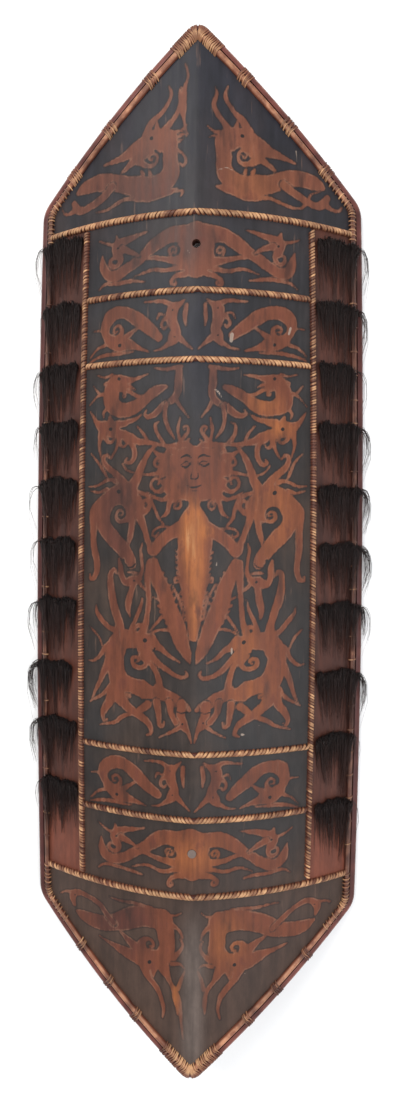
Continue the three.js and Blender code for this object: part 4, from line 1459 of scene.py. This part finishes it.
def strand_paths(root_y, strays, gaps, short, rng):
    """Paths of a right tuft's strands, the first of which stray and the last of which are short."""
    near = side_lacing_x(root_y) + LACING_WIDTH / 2 + gaps[0] * MM
    edge = outer_half_width(root_y)
    row = edge - gaps[1] * MM - near
    t = STRAND_STEPS

    # Roots, as shares of the row from the lacing to the edge
    share = rng.uniform(0, 1, STRANDS)
    share[:strays] = rng.uniform(0.94, 1.04, strays)
    share[short] = rng.uniform(0, 1.05, SHORT_STRANDS)
    x0 = near + row * share
    uneven = wave(share, 9, rng) + 0.6 * wave(share, 23, rng)
    y0 = root_y - rng.uniform(0, ROOT_SCATTER, STRANDS) + uneven * ROOT_WAVE
    y0 = y0 - TUFT_ROUNDING * np.abs(2 * share - 1) ** 6

    # Lengths, and how far each strand drifts outwards
    reach = 0.22 + 0.78 * rng.uniform(0, 1, STRANDS) ** (2.8 - 1.2 * share)
    length = HAIR_LENGTH * reach * (0.7 + 0.3 * share) * (1 + 0.1 * wave(share, 17, rng))
    length[short] = HAIR_LENGTH * rng.uniform(*SHORT_LENGTHS, SHORT_STRANDS)
    drift = rng.normal(0, DRIFT_SCATTER, STRANDS) + DRIFT_WAVE * wave(share, 14, rng)
    drift[short] *= 1.6
    wisp = np.repeat(rng.uniform(0, 1, strays // WISP + 1), WISP)[:strays]
    wisp = np.clip(wisp + rng.normal(0, 0.06, strays), 0, 1)
    drift[:strays] = (0.2 + 0.8 * wisp) * STRAY_SWING
    length[:strays] = HAIR_LENGTH * (0.35 + 0.45 * wisp) * rng.uniform(0.8, 1.1, strays)
    bend = rng.uniform(0.9, 2.2, STRANDS)[:, None]
    bend[:strays] = rng.uniform(0.5, 0.62, strays)[:, None]
    room = np.maximum(edge - EDGE_CLEARANCE - x0, 0)
    drift[strays:] = np.minimum(drift, room)[strays:]

    # Across the board: drift, the pull into locks, and strays that curl back
    locks = np.round(share * LOCKS + rng.normal(0, 0.3, STRANDS)) / LOCKS
    gather = (GATHERING * (locks - share) - DRAW_IN * (share - 0.5)) * row
    gather[:strays] = 0
    x = x0[:, None] + drift[:, None] * t**bend + gather[:, None] * t**1.4
    curled = np.zeros(STRANDS)
    curled[:strays] = np.clip(0.3 + 0.6 * wisp + rng.normal(0, 0.1, strays), 0, 0.95)
    x = np.minimum(x - (curled * drift)[:, None] * t**3, edge + MOST_STRAY)

    # Down the board: over the root's bend, then to the point
    over = np.where(short, rng.uniform(0, 6 * MM, STRANDS), rng.uniform(0, 4.5 * MM, STRANDS))
    fall = np.full(STRANDS, 1.15)
    fall[:strays] = rng.uniform(1.3, 1.8, strays)
    y = y0[:, None] + over[:, None] * (1 - np.exp(-30 * t)) - length[:, None] * t ** fall[:, None]

    # Up from the board, with the root in the wood and strays that sink past the edge
    height = HAIR_HEIGHT * rng.uniform(0.05, 1, STRANDS) * np.where(short, 0.9, 0.6)
    z = hair_floor(x, y) + height[:, None] * (1 - np.exp(-18 * t)) * (1 - t) ** 0.9
    z = z - ROOT_DEPTH * (t == 0) - STRAY_SINK * np.maximum(x - edge, 0)
    return np.stack([x, y, np.maximum(z, LOWEST_HAIR)], -1)


def strand_rings(path):
    """Three-cornered rings round each strand, thinner towards its point."""
    ahead = unit(np.gradient(path, axis=1))
    across = unit(np.cross(ahead, [0.0, 0.0, 1.0]))
    up = np.cross(across, ahead)
    radius = STRAND_RADIUS * (1 - 0.75 * STRAND_STEPS**1.3)[..., None]
    corners = [up * radius]
    corners += [(sign * 0.87 * across - 0.5 * up) * radius for sign in (1, -1)]
    return path[:, :, None] + np.stack(corners, 2)


def make_tuft(root_y, side, strays, gaps, name, rng, material):
    short = np.arange(STRANDS) >= STRANDS - SHORT_STRANDS
    path = strand_paths(root_y, strays, gaps, short, rng)
    rings = strand_rings(path)
    verts, faces = tubes(rings * [side, 1, 1])
    piece = build(f"hair_{name}", verts, faces, material, [f"hair_tuft_{name}"], smooth=180)
    strand = np.repeat(rng.uniform(0, 0.3, STRANDS), rings.shape[1] * 3)
    fallen = np.clip((root_y - path[..., 1]) / FADED_BELOW, 0, 1)
    add_value(piece, "shade", np.clip(strand + 0.9 * np.repeat(fallen.ravel(), 3) ** 1.3, 0, 1))


def make_hair(material):
    rng = np.random.default_rng(SEED + 2)
    sides = (
        (1, "right", ROOTS_RIGHT, STRAYS_RIGHT, LACING_GAPS_RIGHT, EDGE_GAPS_RIGHT),
        (-1, "left", ROOTS_LEFT, STRAYS_LEFT, LACING_GAPS_LEFT, EDGE_GAPS_LEFT),
    )
    for k, root_y in enumerate(TUFT_ROOT_Y):
        for side, word, roots, strays, lacing_gaps, edge_gaps in sides:
            gaps = lacing_gaps[k], edge_gaps[k]
            name = f"{word}_{k + 1:02d}"
            make_tuft(root_y + roots[k] * MM, side, strays[k], gaps, name, rng, material)


# Lights, floor and camera

# Where the photograph was taken from, and how the camera was turned
CAMERA_PLACE = (53.6 * MM, 59.5 * MM, 956.2 * MM)
CAMERA_YAW = math.radians(-3.01)
CAMERA_PITCH = math.radians(2.51)
CAMERA_ROLL = math.radians(-0.44)
CAMERA_LENS = 23.96
# Name, place, size, power and colour of each light
LIGHTS = [
    ("key", (-0.9, 1.3, 1.9), 1.4, 26, (1, 0.97, 0.93)),
    ("fill", (1.3, -0.6, 1.8), 1.6, 14, (0.93, 0.96, 1)),
    ("overhead", (0.1, 0.1, 2.2), 0.7, 9, (0.9, 0.95, 1)),
]
SKY_STRENGTH = 0.75
# Half the side of the floor
FLOOR_REACH = 6


def make_camera():
    data = bpy.data.cameras.new("camera")
    data.lens = CAMERA_LENS
    data.sensor_width = 36
    data.clip_end = 20
    camera = bpy.data.objects.new("camera", data)
    turn = Matrix.Rotation(CAMERA_ROLL, 4, "Z") @ Matrix.Rotation(CAMERA_PITCH, 4, "X")
    turn = turn @ Matrix.Rotation(CAMERA_YAW, 4, "Y")
    camera.matrix_world = Matrix.Translation(CAMERA_PLACE) @ turn.transposed()
    bpy.context.scene.collection.objects.link(camera)
    bpy.context.scene.camera = camera


def make_light(name, place, size, power, color):
    data = bpy.data.lights.new(name, "AREA")
    data.shape = "DISK"
    data.size = size
    data.energy = power
    data.color = color
    light = bpy.data.objects.new(name, data)
    light.location = place
    light.rotation_euler = (-light.location).to_track_quat("-Z", "Y").to_euler()
    bpy.context.scene.collection.objects.link(light)


def make_studio():
    corners = [(-1, -1, 0), (1, -1, 0), (1, 1, 0), (-1, 1, 0)]
    verts = [(FLOOR_REACH * x, FLOOR_REACH * y, z) for x, y, z in corners]
    floor = bare_object("studio_floor", verts, [(0, 1, 2, 3)])
    floor.data.materials.append(floor_material())
    for light in LIGHTS:
        make_light(*light)
    world = bpy.data.worlds.new("studio")
    world.use_nodes = True
    sky = world.node_tree.nodes["Background"]
    sky.inputs["Color"].default_value = (1, 1, 1, 1)
    sky.inputs["Strength"].default_value = SKY_STRENGTH
    bpy.context.scene.world = world
    bpy.context.scene.view_settings.view_transform = "Standard"


make_camera()
make_studio()
DARK_CANE = rattan("dark_cane", rgb(76, 38, 35), rgb(112, 62, 54), rgb(142, 92, 78))
LIGHT_CANE = rattan("light_cane", rgb(70, 37, 30), rgb(116, 66, 49), rgb(184, 130, 98))
SPLIT_CANE = rattan("split_cane", rgb(82, 45, 36), rgb(126, 78, 57), rgb(200, 154, 112))
HAIR = hair_material()
PLUG = plug_wood()
make_board(painted_wood())
make_rim_canes(DARK_CANE, LIGHT_CANE)
make_lashings(SPLIT_CANE)
make_lacing(SPLIT_CANE)
make_hair(HAIR)
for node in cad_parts.values():
    node.data.materials.clear()
    node.data.materials.append(PLUG)
